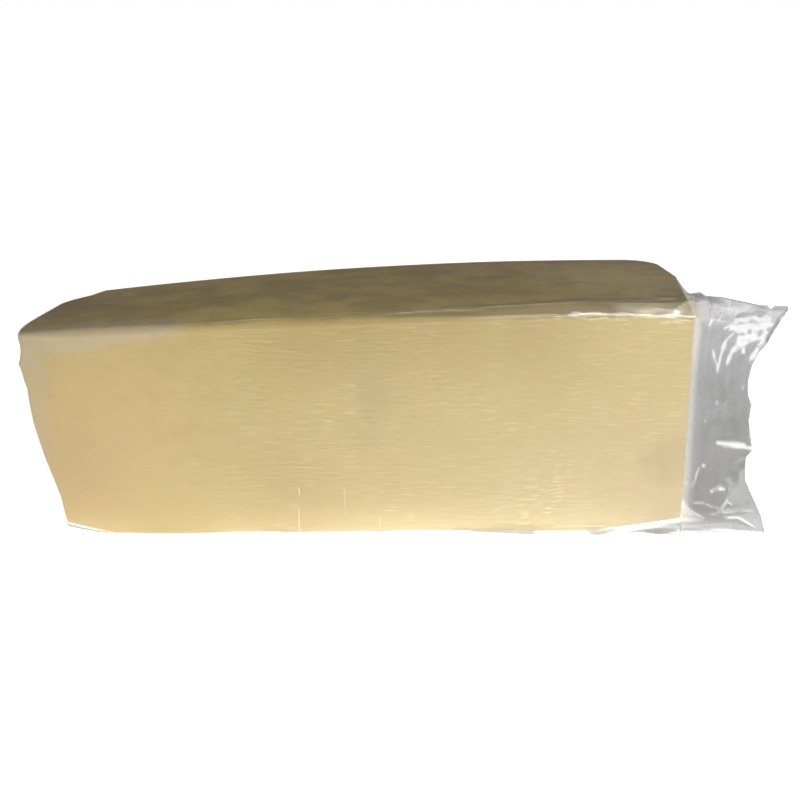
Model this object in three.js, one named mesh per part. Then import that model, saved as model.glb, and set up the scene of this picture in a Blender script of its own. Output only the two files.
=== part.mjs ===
// A block of emmental in a clear shrink bag. The film lies tight on the block. From the right edge of
// the cut face its front sheet runs on as a flat crumpled tail, and the film over the end face is drawn
// in behind that sheet.
// Sizes are in millimetres: +X along the block to the tail, +Y away from the cut face, +Z up.
import * as THREE from "three";
import { LoftGeometry } from "three/addons/geometries/LoftGeometry.js";

// Block
const LENGTH = 300;             // top edge of the cut face
const CUT_FACE_Y = -46;
const LEFT_DEPTH = 70;
const RIGHT_DEPTH = 120;
const FACE_LEAN = 1.8;          // foot of the cut face further forward than its top
const CROWN_HEIGHT = 113.8;     // highest point of the domed top
const CROWN_X = 60;
const TOP_RADIUS = 2200;        // dome of the top along the block
const DOME_RADIUS = 2000;       // and from front to back
const LEFT_LEAN = 4.2;          // foot of the left end further right than its top
const LEFT_BOW = 5;             // swell of the left end
const LEFT_BOW_SKEW = 1.3;      // above 1 it swells most in its upper half
const RIGHT_LEAN = 8.5;
const LEFT_SWEEP = 6;           // ends run outwards from front to back
const RIGHT_SWEEP = 14;
const RIGHT_SWEEP_DEPTH = 72;   // behind this the right end runs straight back
const END_RADIUS = 1;           // edges round the two ends
const TOP_EDGE_RADIUS = 3.5;
const FOOT_EDGE_RADIUS = 1.5;
const BACK_EDGE_RADIUS = 5;
const LEFT_BACK_RADIUS = 16;
const RIGHT_BACK_RADIUS = 17;
const LEAST_CORNER = 0.5;
const TENT_HEIGHT = 1.2;        // film on the top stands up where it runs into the tail's upper fold
const TENT_START_X = 132;
const TENT_SPREAD = 0.12;       // to both sides of the fold, as a share of the depth

// Tail of film
const TOP_FOLD = 0.32;          // where the bag's folds leave the block, as shares of its depth
const BOTTOM_FOLD = 0.04;
const TAIL_TOP_SHARE = 0.1;     // share of the tail's height that comes from the top of the block
const TAIL_UNDER_SHARE = 0.01;
const TAIL_TIP_X = 206;         // upper corner of the free edge
const TAIL_TIP_HEIGHT = 106;
const TAIL_FOOT_Z = 0.6;
const TAIL_HEAD_Y = -14;        // the tail leans back from foot to head
const TAIL_FOOT_Y = -50;
const TAIL_KNOT_HEIGHT = 113.3; // highest point of the upper fold, just beyond the block
const TAIL_KNOT_SHARE = 0.15;
const TAIL_SLOPE_END = 0.72;    // where the upper fold has come down to the tip's height
const TAIL_KNOT_START = 0.7;    // share of the tail's height from which it rises with its fold
const TAIL_LOWER_WAIST = 17.3;  // free edge inwards of the tip, below and above its notch
const TAIL_UPPER_WAIST = 16.5;
const TAIL_NOTCH_Z = 39;
const TAIL_HEEL = 11.5;         // lower corner beyond the lower waist
const TAIL_HEEL_Z = 26;
const TAIL_EAR_Z = 78;          // from here the free edge runs out to the tip
const TAIL_BOW = 1.4;           // above 1 the sheet turns back at once behind the cut face's edge
const TAIL_THICKNESS = 1;
const TAIL_EDGE = 0.5;          // length over which the free edge closes
const TAIL_WAVE = 1.2;          // swing of the free edge to front and back
const WAVES_IN_TAIL = 1.7;
const TAIL_MERGE = 0.16;        // share of the tail's length where its two sheets meet
const GUSSET_FLARE = 2.4;       // above 1 the film hugs the end face before it leaves it
const GUSSET_DRAW = 1.4;

// Fineness
const TOP_STEPS = 9;
const FACE_STEPS = 24;
const UNDER_STEPS = 3;
const BASE_STEPS = 10;
const BACK_STEPS = 12;
const SHEET_STEPS = TOP_STEPS + FACE_STEPS + UNDER_STEPS;
const TOP_BACK_STEPS = SHEET_STEPS - BASE_STEPS - BACK_STEPS;
const CORNER_STEPS = 8;
const BODY_STEPS = 16;
const GUSSET_STEPS = 8;
const TAIL_STEPS = 16;

const { lerp, clamp, smoothstep } = THREE.MathUtils;

function topHeight(x) {
  return CROWN_HEIGHT - (x - CROWN_X) ** 2 / (2 * TOP_RADIUS);
}

// How far the dome falls off at a depth behind the cut face
function domeFall(y) {
  return (y - CUT_FACE_Y) ** 2 / (2 * DOME_RADIUS);
}

// How far a round corner draws a face in at a distance from the end
function cornerInset(distance, radius) {
  if (distance >= radius) return 0;
  return radius - Math.sqrt(radius ** 2 - (radius - distance) ** 2);
}

// Ends of the block at a depth and height
function leftEnd(y, z) {
  const high = clamp(z / CROWN_HEIGHT, 0, 1);
  const lean = LEFT_LEAN * (1 - high) - LEFT_BOW * Math.sin(Math.PI * high ** LEFT_BOW_SKEW);
  return -LENGTH / 2 + lean - LEFT_SWEEP * (y - CUT_FACE_Y) / LEFT_DEPTH;
}

function rightEnd(y, z) {
  const share = clamp((y - CUT_FACE_Y) / RIGHT_SWEEP_DEPTH, 0, 1);
  return LENGTH / 2 + RIGHT_LEAN * (1 - z / CROWN_HEIGHT) + RIGHT_SWEEP * share;
}

// Steps that crowd towards both ends of a side, or only towards its far end
function crowdBoth(step, steps) {
  return (1 - Math.cos(Math.PI * step / steps)) / 2;
}

function crowdFar(step, steps) {
  return Math.sin(Math.PI / 2 * step / steps);
}

// Square outline of a section as [depth, height] shares: from the top fold down the cut face to the
// bottom fold, then along the base, up the back and over the top
function squareOutline() {
  const outline = [];
  for (let i = 0; i < TOP_STEPS; i++) {
    outline.push([TOP_FOLD * (1 - crowdFar(i, TOP_STEPS)), 1]);
  }
  for (let i = 0; i < FACE_STEPS; i++) {
    outline.push([0, 1 - crowdBoth(i, FACE_STEPS)]);
  }
  for (let i = 0; i < UNDER_STEPS; i++) {
    outline.push([BOTTOM_FOLD * i / UNDER_STEPS, 0]);
  }
  for (let i = 0; i < BASE_STEPS; i++) {
    outline.push([lerp(BOTTOM_FOLD, 1, crowdFar(i, BASE_STEPS)), 0]);
  }
  for (let i = 0; i < BACK_STEPS; i++) {
    outline.push([1, crowdBoth(i, BACK_STEPS)]);
  }
  for (let i = 0; i < TOP_BACK_STEPS; i++) {
    outline.push([lerp(TOP_FOLD, 1, crowdFar(TOP_BACK_STEPS - i, TOP_BACK_STEPS)), 1]);
  }
  return outline;
}

const OUTLINE = squareOutline();

function edgeRadius(deep, high) {
  if (deep > 0.5) return BACK_EDGE_RADIUS;
  return high > 0.5 ? TOP_EDGE_RADIUS : FOOT_EDGE_RADIUS;
}

// Section of the block at a share of its length, with rounded corners
function blockRing(along) {
  const middle = lerp(-LENGTH / 2, LENGTH / 2, along);
  const fromLeft = along * LENGTH;
  const fromRight = (1 - along) * LENGTH;
  const edge = cornerInset(fromLeft, END_RADIUS) + cornerInset(fromRight, END_RADIUS);
  const corner = cornerInset(fromLeft, LEFT_BACK_RADIUS) + cornerInset(fromRight, RIGHT_BACK_RADIUS);
  const front = CUT_FACE_Y + edge;
  const back = CUT_FACE_Y + lerp(LEFT_DEPTH, RIGHT_DEPTH, along) - corner;
  const bottom = edge;
  const top = topHeight(middle) - edge;
  const tent = TENT_HEIGHT * smoothstep(middle, TENT_START_X, LENGTH / 2);
  return OUTLINE.map(([deep, high]) => {
    const radius = Math.max(LEAST_CORNER, edgeRadius(deep, high) - edge);
    const y = lerp(front, back, deep);
    const z = lerp(bottom, top, high);
    const innerY = clamp(y, front + radius, back - radius);
    const innerZ = clamp(z, bottom + radius, top - radius);
    const reach = Math.hypot(y - innerY, z - innerZ);
    const squareY = innerY + (y - innerY) * radius / reach;
    const squareZ = innerZ + (z - innerZ) * radius / reach;
    const blockZ = squareZ * (1 - domeFall(squareY) / top);
    const blockY = squareY - FACE_LEAN * (1 - blockZ / CROWN_HEIGHT) * (1 - deep);
    const x = lerp(leftEnd(blockY, blockZ), rightEnd(blockY, blockZ), along);
    const standing = tent * high * Math.max(0, 1 - Math.abs(deep - TOP_FOLD) / TENT_SPREAD);
    return new THREE.Vector3(x, blockY, blockZ + standing);
  });
}

// Share of the tail's height for a step from the top fold to the bottom fold
function sheetHeight(step) {
  if (step <= TOP_STEPS) return 1 - TAIL_TOP_SHARE * step / TOP_STEPS;
  const down = step - TOP_STEPS;
  if (down <= FACE_STEPS) return lerp(1 - TAIL_TOP_SHARE, TAIL_UNDER_SHARE, crowdBoth(down, FACE_STEPS));
  return TAIL_UNDER_SHARE * (1 - (down - FACE_STEPS) / UNDER_STEPS);
}

// Free edge of the tail: an hourglass with a pointed ear above, a heel below and a notch between them
function freeEdge(z) {
  const waist = z < TAIL_NOTCH_Z ? TAIL_LOWER_WAIST : TAIL_UPPER_WAIST;
  const heel = TAIL_HEEL * clamp(1 - z / TAIL_HEEL_Z, 0, 1);
  const ear = TAIL_UPPER_WAIST * clamp((z - TAIL_EAR_Z) / (TAIL_TIP_HEIGHT - TAIL_EAR_Z), 0, 1);
  return TAIL_TIP_X - waist + heel + ear;
}

// Height of the upper fold at a share of the tail's length: up to a knot, then down to the tip
function foldHeight(along, start) {
  if (along < TAIL_KNOT_SHARE) {
    return lerp(start, TAIL_KNOT_HEIGHT, along / TAIL_KNOT_SHARE);
  }
  const share = clamp((along - TAIL_KNOT_SHARE) / (TAIL_SLOPE_END - TAIL_KNOT_SHARE), 0, 1);
  return lerp(TAIL_KNOT_HEIGHT, TAIL_TIP_HEIGHT, share);
}

// Front sheet of the tail from the cut face's edge to the free edge; closing 1 reaches the edge itself
function frontSheet(endFace, along, closing) {
  const fold = endFace[0].z;
  const lift = foldHeight(along, fold) - lerp(fold, TAIL_TIP_HEIGHT, along);
  return endFace.slice(0, SHEET_STEPS + 1).map((from, step) => {
    const high = sheetHeight(step);
    const tipZ = lerp(TAIL_FOOT_Z, TAIL_TIP_HEIGHT, high);
    const tipX = freeEdge(tipZ) - TAIL_EDGE * (1 - closing);
    const swing = TAIL_WAVE * Math.sin(2 * Math.PI * WAVES_IN_TAIL * high) * along * Math.sin(Math.PI * high);
    const back = 1 - (1 - along) ** TAIL_BOW;
    return new THREE.Vector3(
      lerp(from.x, tipX, along),
      lerp(from.y, lerp(TAIL_FOOT_Y, TAIL_HEAD_Y, high), back) + swing,
      lerp(from.z, tipZ, along) + lift * smoothstep(high, TAIL_KNOT_START, 1),
    );
  });
}

// Back sheet that lies on a front sheet and shares its folds
function backSheet(front, fullness) {
  return front.map((point, step) => {
    const inside = Math.sqrt(1 - (2 * sheetHeight(step) - 1) ** 6);
    return new THREE.Vector3(point.x, point.y + TAIL_THICKNESS * fullness * inside, point.z);
  });
}

// Film over the end face, drawn in behind the front sheet at a share of the way to where they meet
function drawnSheet(endFace, target, share) {
  const together = 1 - (1 - share) ** GUSSET_DRAW;
  const out = share ** GUSSET_FLARE;
  return target.map((to, step) => {
    const from = endFace[(2 * SHEET_STEPS - step) % (2 * SHEET_STEPS)];
    const y = lerp(from.y, to.y, together);
    const z = lerp(from.z, to.z, together);
    const near = from.x - rightEnd(from.y, from.z);
    const far = to.x - rightEnd(to.y, to.z);
    return new THREE.Vector3(rightEnd(y, z) + lerp(near, far, out), y, z);
  });
}

// Ring from a front and a back sheet that share their folds
function closedRing(front, back) {
  return [...front, ...back.slice(1, -1).reverse()];
}

function cornerStations(radius) {
  const stations = [];
  for (let i = 0; i < CORNER_STEPS; i++) {
    stations.push(radius * (1 - Math.cos(Math.PI / 2 * i / CORNER_STEPS)) / LENGTH);
  }
  return stations;
}

function blockRings() {
  const rings = [];
  for (const along of cornerStations(LEFT_BACK_RADIUS)) rings.push(blockRing(along));
  const bodyStart = LEFT_BACK_RADIUS / LENGTH;
  const bodyEnd = 1 - RIGHT_BACK_RADIUS / LENGTH;
  for (let i = 0; i <= BODY_STEPS; i++) {
    rings.push(blockRing(lerp(bodyStart, bodyEnd, i / BODY_STEPS)));
  }
  for (const along of cornerStations(RIGHT_BACK_RADIUS).reverse()) rings.push(blockRing(1 - along));
  return rings;
}

function tailRings(endFace) {
  const rings = [];
  const meeting = backSheet(frontSheet(endFace, TAIL_MERGE, 0), 1);
  for (let i = 1; i < GUSSET_STEPS; i++) {
    const share = i / GUSSET_STEPS;
    const front = frontSheet(endFace, TAIL_MERGE * share, 0);
    rings.push(closedRing(front, drawnSheet(endFace, meeting, share)));
  }
  for (let i = 0; i <= TAIL_STEPS; i++) {
    const front = frontSheet(endFace, lerp(TAIL_MERGE, 1, i / TAIL_STEPS), 0);
    rings.push(closedRing(front, backSheet(front, 1)));
  }
  const edge = frontSheet(endFace, 1, 1);
  rings.push(closedRing(edge, backSheet(edge, 0)));
  return rings;
}

function bagRings() {
  const rings = blockRings();
  return [...rings, ...tailRings(rings[rings.length - 1])];
}

const bag = new THREE.Mesh(
  new LoftGeometry(bagRings(), { capStart: true }),
  new THREE.MeshStandardMaterial({ color: 0xd2bd8b, roughness: 0.32, metalness: 0 }),
);
bag.name = "bagged_emmental";

const part = new THREE.Group();
part.name = "emmental_in_bag";
part.add(bag);

export default part;
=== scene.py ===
"""A block of emmental in a clear shrink bag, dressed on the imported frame.

The cheese is a long cut block with a domed top. The film lies tight on it, stands off along its edges, and
runs on from the right edge of the cut face as a flat crumpled tail. Lengths are in metres, written as
millimetres * MM.
"""

import logging
import math
from collections.abc import Callable
from dataclasses import dataclass, field
from enum import Enum

import bmesh
import bpy
import numpy as np
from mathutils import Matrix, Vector


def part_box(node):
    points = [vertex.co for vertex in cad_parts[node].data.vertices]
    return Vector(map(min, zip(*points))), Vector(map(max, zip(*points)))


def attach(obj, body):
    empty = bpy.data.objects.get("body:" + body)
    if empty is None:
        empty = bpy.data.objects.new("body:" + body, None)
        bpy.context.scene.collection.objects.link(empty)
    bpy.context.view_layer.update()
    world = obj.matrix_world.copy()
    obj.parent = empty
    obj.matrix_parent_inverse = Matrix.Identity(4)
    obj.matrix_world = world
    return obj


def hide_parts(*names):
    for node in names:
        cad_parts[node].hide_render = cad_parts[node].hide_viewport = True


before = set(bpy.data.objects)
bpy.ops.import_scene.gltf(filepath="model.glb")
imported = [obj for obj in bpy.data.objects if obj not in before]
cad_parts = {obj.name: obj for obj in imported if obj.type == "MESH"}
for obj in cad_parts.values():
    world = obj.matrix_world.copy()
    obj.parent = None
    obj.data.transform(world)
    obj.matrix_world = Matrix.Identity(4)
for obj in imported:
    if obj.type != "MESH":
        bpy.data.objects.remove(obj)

MM = 0.001
NODE = "bagged_emmental"
BODY = "root"
SHARP_ANGLE = 50.0
LOG = logging.getLogger("emmental")
Array = np.ndarray
Places = tuple[tuple[float, ...], ...]
Pair = tuple[float, float]
Triple = tuple[float, float, float]
Ramp = tuple[float, ...]
Colour = tuple[float, float, float, float]


class Side(Enum):
    """Sides of a section, in the order in which its outline runs round."""

    TOP_FRONT = 0
    FACE = 1
    UNDER = 2
    BASE = 3
    BACK = 4
    TOP_BACK = 5


class Closing(Enum):
    """How the last ring at one end of a loft is closed."""

    POLE = "one point in the middle"
    SEAM = "front half sewn to back half"


class WaveShape(Enum):
    """Profile of the plane waves that make up a crumple."""

    SMOOTH = "sine"
    FACETED = "triangle"


def mix(start: Array | float, end: Array | float, share: Array | float) -> Array | float:
    """Value at a share of the way from start to end."""
    return start + (end - start) * share


def ease(value: Array | float, low: Array | float, high: Array | float) -> Array | float:
    """Smooth step from 0 at low to 1 at high; low may be the larger."""
    share = np.clip((value - low) / (high - low), 0.0, 1.0)
    return share * share * (3.0 - 2.0 * share)


def bell(value: Array | float, width: float) -> Array | float:
    """Bell curve of height 1 with the given half width."""
    return np.exp(-((value / width) ** 2))


def follow(value: Array, places: Places, column: int = 1) -> Array:
    """Broken line through places in millimetres, read at values in metres."""
    table = np.array(places) * MM
    return np.interp(value, table[:, 0], table[:, column])


@dataclass(frozen=True)
class Fade:
    """Smooth change of a look from none of it at one value to all of it at another."""

    none: float
    full: float

    def at(self, value: Array) -> Array:
        """Share of the look, from 0 to 1."""
        return ease(value, self.none, self.full)


@dataclass(frozen=True)
class Crumple:
    """Seeded sum of plane waves in space, about 1 high at its peaks.

    Args:
        seed: seed of the random draw.
        longest: longest wavelength.
        shortest: shortest wavelength.
        shape: smooth waves, or triangles that leave flat facets between sharp creases.
        count: number of waves.
    """

    seed: int
    longest: float
    shortest: float
    shape: WaveShape = WaveShape.SMOOTH
    count: int = 12

    def at(self, points: Array) -> Array:
        """Height of the crumple at points.

        Args:
            points: array whose last axis holds x, y and z.

        Returns:
            Array of heights with the shape of the points' other axes.
        """
        rng = np.random.default_rng(self.seed)
        total = np.zeros(points.shape[:-1])
        for _ in range(self.count):
            heading = rng.normal(size=3)
            heading /= np.linalg.norm(heading)
            length = mix(self.shortest, self.longest, rng.random())
            turn = points @ heading / length + rng.random()
            if self.shape is WaveShape.SMOOTH:
                total += np.sin(2 * math.pi * turn)
            else:
                total += 4 * np.abs(turn - np.floor(turn) - 0.5) - 1
        return total / math.sqrt(self.count)

    def along(self, values: Array) -> Array:
        """Height of the crumple along one line."""
        return self.at(np.stack([values, np.zeros_like(values), np.zeros_like(values)], axis=-1))


@dataclass(frozen=True)
class Outline:
    """Square outline of a section, from the top fold down the cut face and round to the fold again.

    In the film the part from the top fold to the bottom fold has as many steps as the rest, so that the
    outline can close flat into the tail.
    """

    top: int
    face: int
    under: int
    base: int
    back: int
    top_back: int
    top_fold: float = 0.29
    bottom_fold: float = 0.04
    crowding: float = 0.6
    top_crowding: float = 0.8

    @property
    def half(self) -> int:
        """Steps from one fold to the other."""
        return self.top + self.face + self.under

    def shares(self) -> tuple[Array, Array, Array]:
        """Points of the outline.

        Returns:
            Shares of the depth, shares of the height, and the side that each point lies on.
        """
        runs = (
            (Side.TOP_FRONT, self.top, (self.top_fold, 1.0), (0.0, 1.0)),
            (Side.FACE, self.face, (0.0, 1.0), (0.0, 0.0)),
            (Side.UNDER, self.under, (0.0, 0.0), (self.bottom_fold, 0.0)),
            (Side.BASE, self.base, (self.bottom_fold, 0.0), (1.0, 0.0)),
            (Side.BACK, self.back, (1.0, 0.0), (1.0, 1.0)),
            (Side.TOP_BACK, self.top_back, (1.0, 1.0), (self.top_fold, 1.0)),
        )
        deep, high, side = [], [], []
        for name, steps, start, end in runs:
            share = self._crowd(name, steps)
            deep.append(mix(start[0], end[0], share))
            high.append(mix(start[1], end[1], share))
            side.append(np.full(steps, name.value))
        return np.concatenate(deep), np.concatenate(high), np.concatenate(side)

    def heights(self, top_share: float, under_share: float) -> Array:
        """Heights in the flat tail of the points from the top fold to the bottom fold.

        Args:
            top_share: share of the tail's height that comes from the top of the block.
            under_share: share that comes from its underside.

        Returns:
            Heights from 1 to 0.
        """
        over = mix(1.0, 1 - top_share, np.arange(self.top) / self.top)
        face = mix(1 - top_share, under_share, self._crowd(Side.FACE, self.face))
        under = mix(under_share, 0.0, np.arange(self.under + 1) / self.under)
        return np.concatenate([over, face, under])

    def _crowd(self, side: Side, steps: int) -> Array:
        """Shares along a side, closer together near the corners of the section."""
        share = np.arange(steps) / steps
        if side in (Side.TOP_FRONT, Side.BASE):
            return mix(share, np.sin(math.pi / 2 * share), self.crowding)
        if side is Side.TOP_BACK:
            return mix(share, 1 - np.cos(math.pi / 2 * share), self.top_crowding)
        if side in (Side.FACE, Side.BACK):
            return mix(share, (1 - np.cos(math.pi * share)) / 2, self.crowding)
        return share


TOP_EDGE: Places = (
    (-150, 0.3, 3, 0), (-140, 1.0, 3, 0.4), (-128, 2.0, 3.5, 0.9), (-110, 1.7, 3, 1.5), (-92, 1.6, 3, 1.95),
    (-64, 1.75, 3, 2.7), (-29, 1.75, 3, 2.6), (15, 1.65, 3, 2.4), (41, 1.4, 3, 2.1), (80, 0.8, 3, 1.6),
    (108, 0.4, 3, 0.8), (150, 0.3, 3, 0.4),
)
FOOT_FLARE: Places = (
    (-150, 0.4), (-131, 1.3), (-111, 1.8), (-81, 2.0), (-65, 1.0), (-11, 0.3), (10, -0.7), (30, -0.7),
    (49, -0.3), (79, 0), (110, 0),
)
LEFT_PLAN: Places = ((0, 0), (5, -1.1), (10, -1.7), (17, -1.2), (24, 0), (40, 3), (55, 5.7), (70, 7))
LEFT_WEAR: Places = (
    (0, 0.3), (11, 0.5), (19, 1.3), (31, 0.9), (40, 0.4), (60, 0), (77, 0.8), (81, 0), (85, -0.4), (89, -1.3),
    (93, 0), (97, 0.4), (101, -0.4),
)


@dataclass(frozen=True)
class BlockForm:
    """Form of the block: a long box with a domed top, leaning ends and rounded edges.

    The film has this form as it is. The cheese lies inside it by the inset, and its underside lifts at both
    ends. The edge table gives, along the block, the drop of the cut face's top edge, the depth over which it
    rolls off, and the sag of the top behind it.
    """

    crown_height: float
    length: float = 300 * MM
    cut_face_y: float = -46 * MM
    left_depth: float = 71.5 * MM
    right_depth: float = 120 * MM
    face_lean: float = 1.8 * MM
    crown_x: float = 60 * MM
    top_radius: float = 2200 * MM
    dome_radius: float = 2000 * MM
    left_lean: float = 4.2 * MM
    left_bow: float = 5 * MM
    bow_skew: float = 1.3
    right_lean: float = 8.5 * MM
    left_sweep: float = 6 * MM
    right_sweep: float = 14 * MM
    sweep_depth: float = 72 * MM
    end_radius: float = 0.6 * MM
    top_edge: float = 1.2 * MM
    foot_edge: float = 1.5 * MM
    back_edge: float = 5 * MM
    left_back_radius: float = 16 * MM
    back_step: float = 7 * MM
    step_reach: Fade = Fade(14 * MM, 9 * MM)
    worn: Fade = Fade(75 * MM, 100 * MM)
    right_back_radius: float = 17 * MM
    least_corner: float = 0.5 * MM
    inset: float = 0.0
    heel_rise: float = 0.0
    heel_start: float = 99 * MM
    heel_end: float = 158 * MM
    toe_rise: float = 0.0
    toe_start: float = -131 * MM
    toe_end: float = -147 * MM
    rise_power: float = 1.3
    edge: Places = TOP_EDGE
    sag_depth: float = 30 * MM
    flare_depth: float = 8 * MM
    flare_height: float = 22 * MM

    def top_height(self, x: Array) -> Array:
        """Height of the domed top at the front."""
        return self.crown_height - (x - self.crown_x) ** 2 / (2 * self.top_radius)

    def edge_height(self, x: Array) -> Array:
        """Height of the top edge of the cut face."""
        return self.top_height(x) - follow(x, self.edge, 1) - follow(x, self.edge, 3)

    def foot_rise(self, x: Array) -> Array:
        """How far the underside lifts off the floor near the ends."""
        heel = np.clip((x - self.heel_start) / (self.heel_end - self.heel_start), 0, None)
        toe = np.clip((x - self.toe_start) / (self.toe_end - self.toe_start), 0, None)
        return self.heel_rise * heel**self.rise_power + self.toe_rise * toe**self.rise_power

    def left_end(self, y: Array, z: Array) -> Array:
        """Place of the left end along the block."""
        high = np.clip(z / self.crown_height, 0, 1)
        lean = self.left_lean * (1 - high) - self.left_bow * np.sin(math.pi * high**self.bow_skew)
        lean = lean + follow(z, LEFT_WEAR)
        lean = lean + follow(y - self.cut_face_y, LEFT_PLAN) * self.worn.at(z)
        return lean - self.length / 2 - self.left_sweep * (y - self.cut_face_y) / self.left_depth + self.inset

    def right_end(self, y: Array, z: Array) -> Array:
        """Place of the right end along the block."""
        sweep = self.right_sweep * np.clip((y - self.cut_face_y) / self.sweep_depth, 0, 1)
        return self.length / 2 + self.right_lean * (1 - z / self.crown_height) + sweep - self.inset

    @staticmethod
    def corner_inset(distance: Array, radius: float) -> Array:
        """How far a round corner draws a face in at a distance from the end."""
        inside = np.clip(radius - distance, 0, radius)
        return radius - np.sqrt(radius**2 - inside**2)

    def stations(self, corner_steps: int, body_steps: int) -> Array:
        """Shares of the length at which sections are taken, close together round the end corners."""
        turn = 1 - np.cos(math.pi / 2 * np.arange(corner_steps) / corner_steps)
        left = self.left_back_radius * turn / self.length
        right = 1 - self.right_back_radius * turn[::-1] / self.length
        start = self.left_back_radius / self.length
        end = 1 - self.right_back_radius / self.length
        return np.concatenate([left, np.linspace(start, end, body_steps + 1), right])

    def sections(self, along: Array, outline: Outline) -> tuple[Array, Array]:
        """Rings of points round the block.

        Args:
            along: shares of the length.
            outline: outline of each section.

        Returns:
            Array of rings, points and coordinates, and the outward normals of the sections' outlines.
        """
        deep, high, _ = outline.shares()
        along = along[:, None]
        middle = mix(-self.length / 2, self.length / 2, along)
        from_left = along * self.length
        from_right = (1 - along) * self.length
        edge = self.corner_inset(from_left, self.end_radius) + self.corner_inset(from_right, self.end_radius)
        top = self.top_height(middle) - self.inset - edge
        corner = self.corner_inset(from_left, self.left_back_radius)
        corner = corner + self.corner_inset(from_right, self.right_back_radius)
        corner = corner + self.back_step * self.step_reach.at(from_left) * self.worn.at(high * top)
        front = self.cut_face_y + self.inset + edge
        back = self.cut_face_y + mix(self.left_depth, self.right_depth, along) - self.inset - corner
        bottom = self.inset + self.foot_rise(middle) + edge
        round_edge = np.where(deep > 0.5, self.back_edge, np.where(high > 0.5, self.top_edge, self.foot_edge))
        radius = np.maximum(self.least_corner, round_edge - edge)
        y = mix(front, back, deep)
        z = mix(bottom, top, high)
        inner_y = np.clip(y, front + radius, back - radius)
        inner_z = np.clip(z, bottom + radius, top - radius)
        reach = np.hypot(y - inner_y, z - inner_z)
        normal_y, normal_z = (y - inner_y) / reach, (z - inner_z) / reach
        y = inner_y + normal_y * radius
        z = inner_z + normal_z * radius
        behind = y - front
        fall = behind**2 / (2 * self.dome_radius)
        rolled = np.clip(1 - behind / follow(middle, self.edge, 2), 0, 1)
        fall = fall + follow(middle, self.edge, 1) * rolled**2
        fall = fall + follow(middle, self.edge, 3) * np.clip(1 - behind / self.sag_depth, 0, 1) ** 2
        z = z - fall * z / top
        low = np.clip(1 - z / self.flare_height, 0, 1) ** 2
        y = y - follow(middle, FOOT_FLARE) * low * np.clip(1 - behind / self.flare_depth, 0, 1)
        y = y - self.face_lean * (1 - z / self.crown_height) * (1 - deep)
        x = mix(self.left_end(y, z), self.right_end(y, z), along)
        return np.stack([x, y, z], axis=-1), np.stack([np.zeros_like(x), normal_y, normal_z], axis=-1)


def cap_rings(ring: Array, steps: int, end: Callable[[Array, Array], Array]) -> Array:
    """Rings that close an end face: the face's own ring drawn towards its middle over the form of the end.

    Args:
        ring: points round the end face.
        steps: number of rings.
        end: place of the end along the block at values of y and z.

    Returns:
        Rings from the smallest to the one just inside the given ring.
    """
    share = (np.arange(steps) + 0.5) / steps
    rings = mix(ring.mean(axis=0), ring, share[:, None, None])
    rings[..., 0] = end(rings[..., 1], rings[..., 2]) + ring[:, 0] - end(ring[:, 1], ring[:, 2])
    return rings


def loft_mesh(
    name: str, rings: Array, start: Closing, end: Closing, values: dict[str, Array]
) -> bpy.types.Mesh:
    """Closed mesh through a row of rings.

    Args:
        name: name of the mesh.
        rings: array of rings, points and coordinates.
        start: how the first ring is closed.
        end: how the last ring is closed.
        values: arrays of one number for each point of the rings, kept as point attributes.

    Returns:
        A smooth mesh with its faces outwards.
    """
    count, size = rings.shape[:2]
    index = np.arange(count * size).reshape(count, size)
    if end is Closing.SEAM:
        half = size // 2
        index[-1, half + 1:] = index[-1, 1:half][::-1]
    following = np.roll(index, -1, axis=1)
    quads = np.stack([index[:-1], following[:-1], following[1:], index[1:]], axis=-1).reshape(-1, 4)
    points = [rings.reshape(-1, 3)]
    faces = quads.tolist()
    extra = {key: [value.reshape(-1)] for key, value in values.items()}
    for closing, row in ((start, 0), (end, count - 1)):
        if closing is not Closing.POLE:
            continue
        pole = sum(len(block) for block in points)
        points.append(rings[row].mean(axis=0, keepdims=True))
        for key, value in values.items():
            extra[key].append(value[row].mean(keepdims=True))
        fan = zip(following[row], index[row]) if row == 0 else zip(index[row], following[row])
        faces.extend([int(a), int(b), pole] for a, b in fan)
    mesh = bpy.data.meshes.new(name)
    mesh.from_pydata(np.concatenate(points).tolist(), [], faces)
    for key, blocks in extra.items():
        mesh.attributes.new(key, "FLOAT", "POINT").data.foreach_set("value", np.concatenate(blocks))
    mesh.polygons.foreach_set("use_smooth", [True] * len(mesh.polygons))
    drop_unused(mesh)
    mesh.set_sharp_from_angle(angle=math.radians(SHARP_ANGLE))
    mesh.update()
    return mesh


def drop_unused(mesh: bpy.types.Mesh) -> None:
    """Removes points that no face uses, such as the half of a seam that was sewn to the other."""
    work = bmesh.new()
    work.from_mesh(mesh)
    loose = [vert for vert in work.verts if not vert.link_faces]
    bmesh.ops.delete(work, geom=loose, context="VERTS")
    work.to_mesh(mesh)
    work.free()


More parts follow.
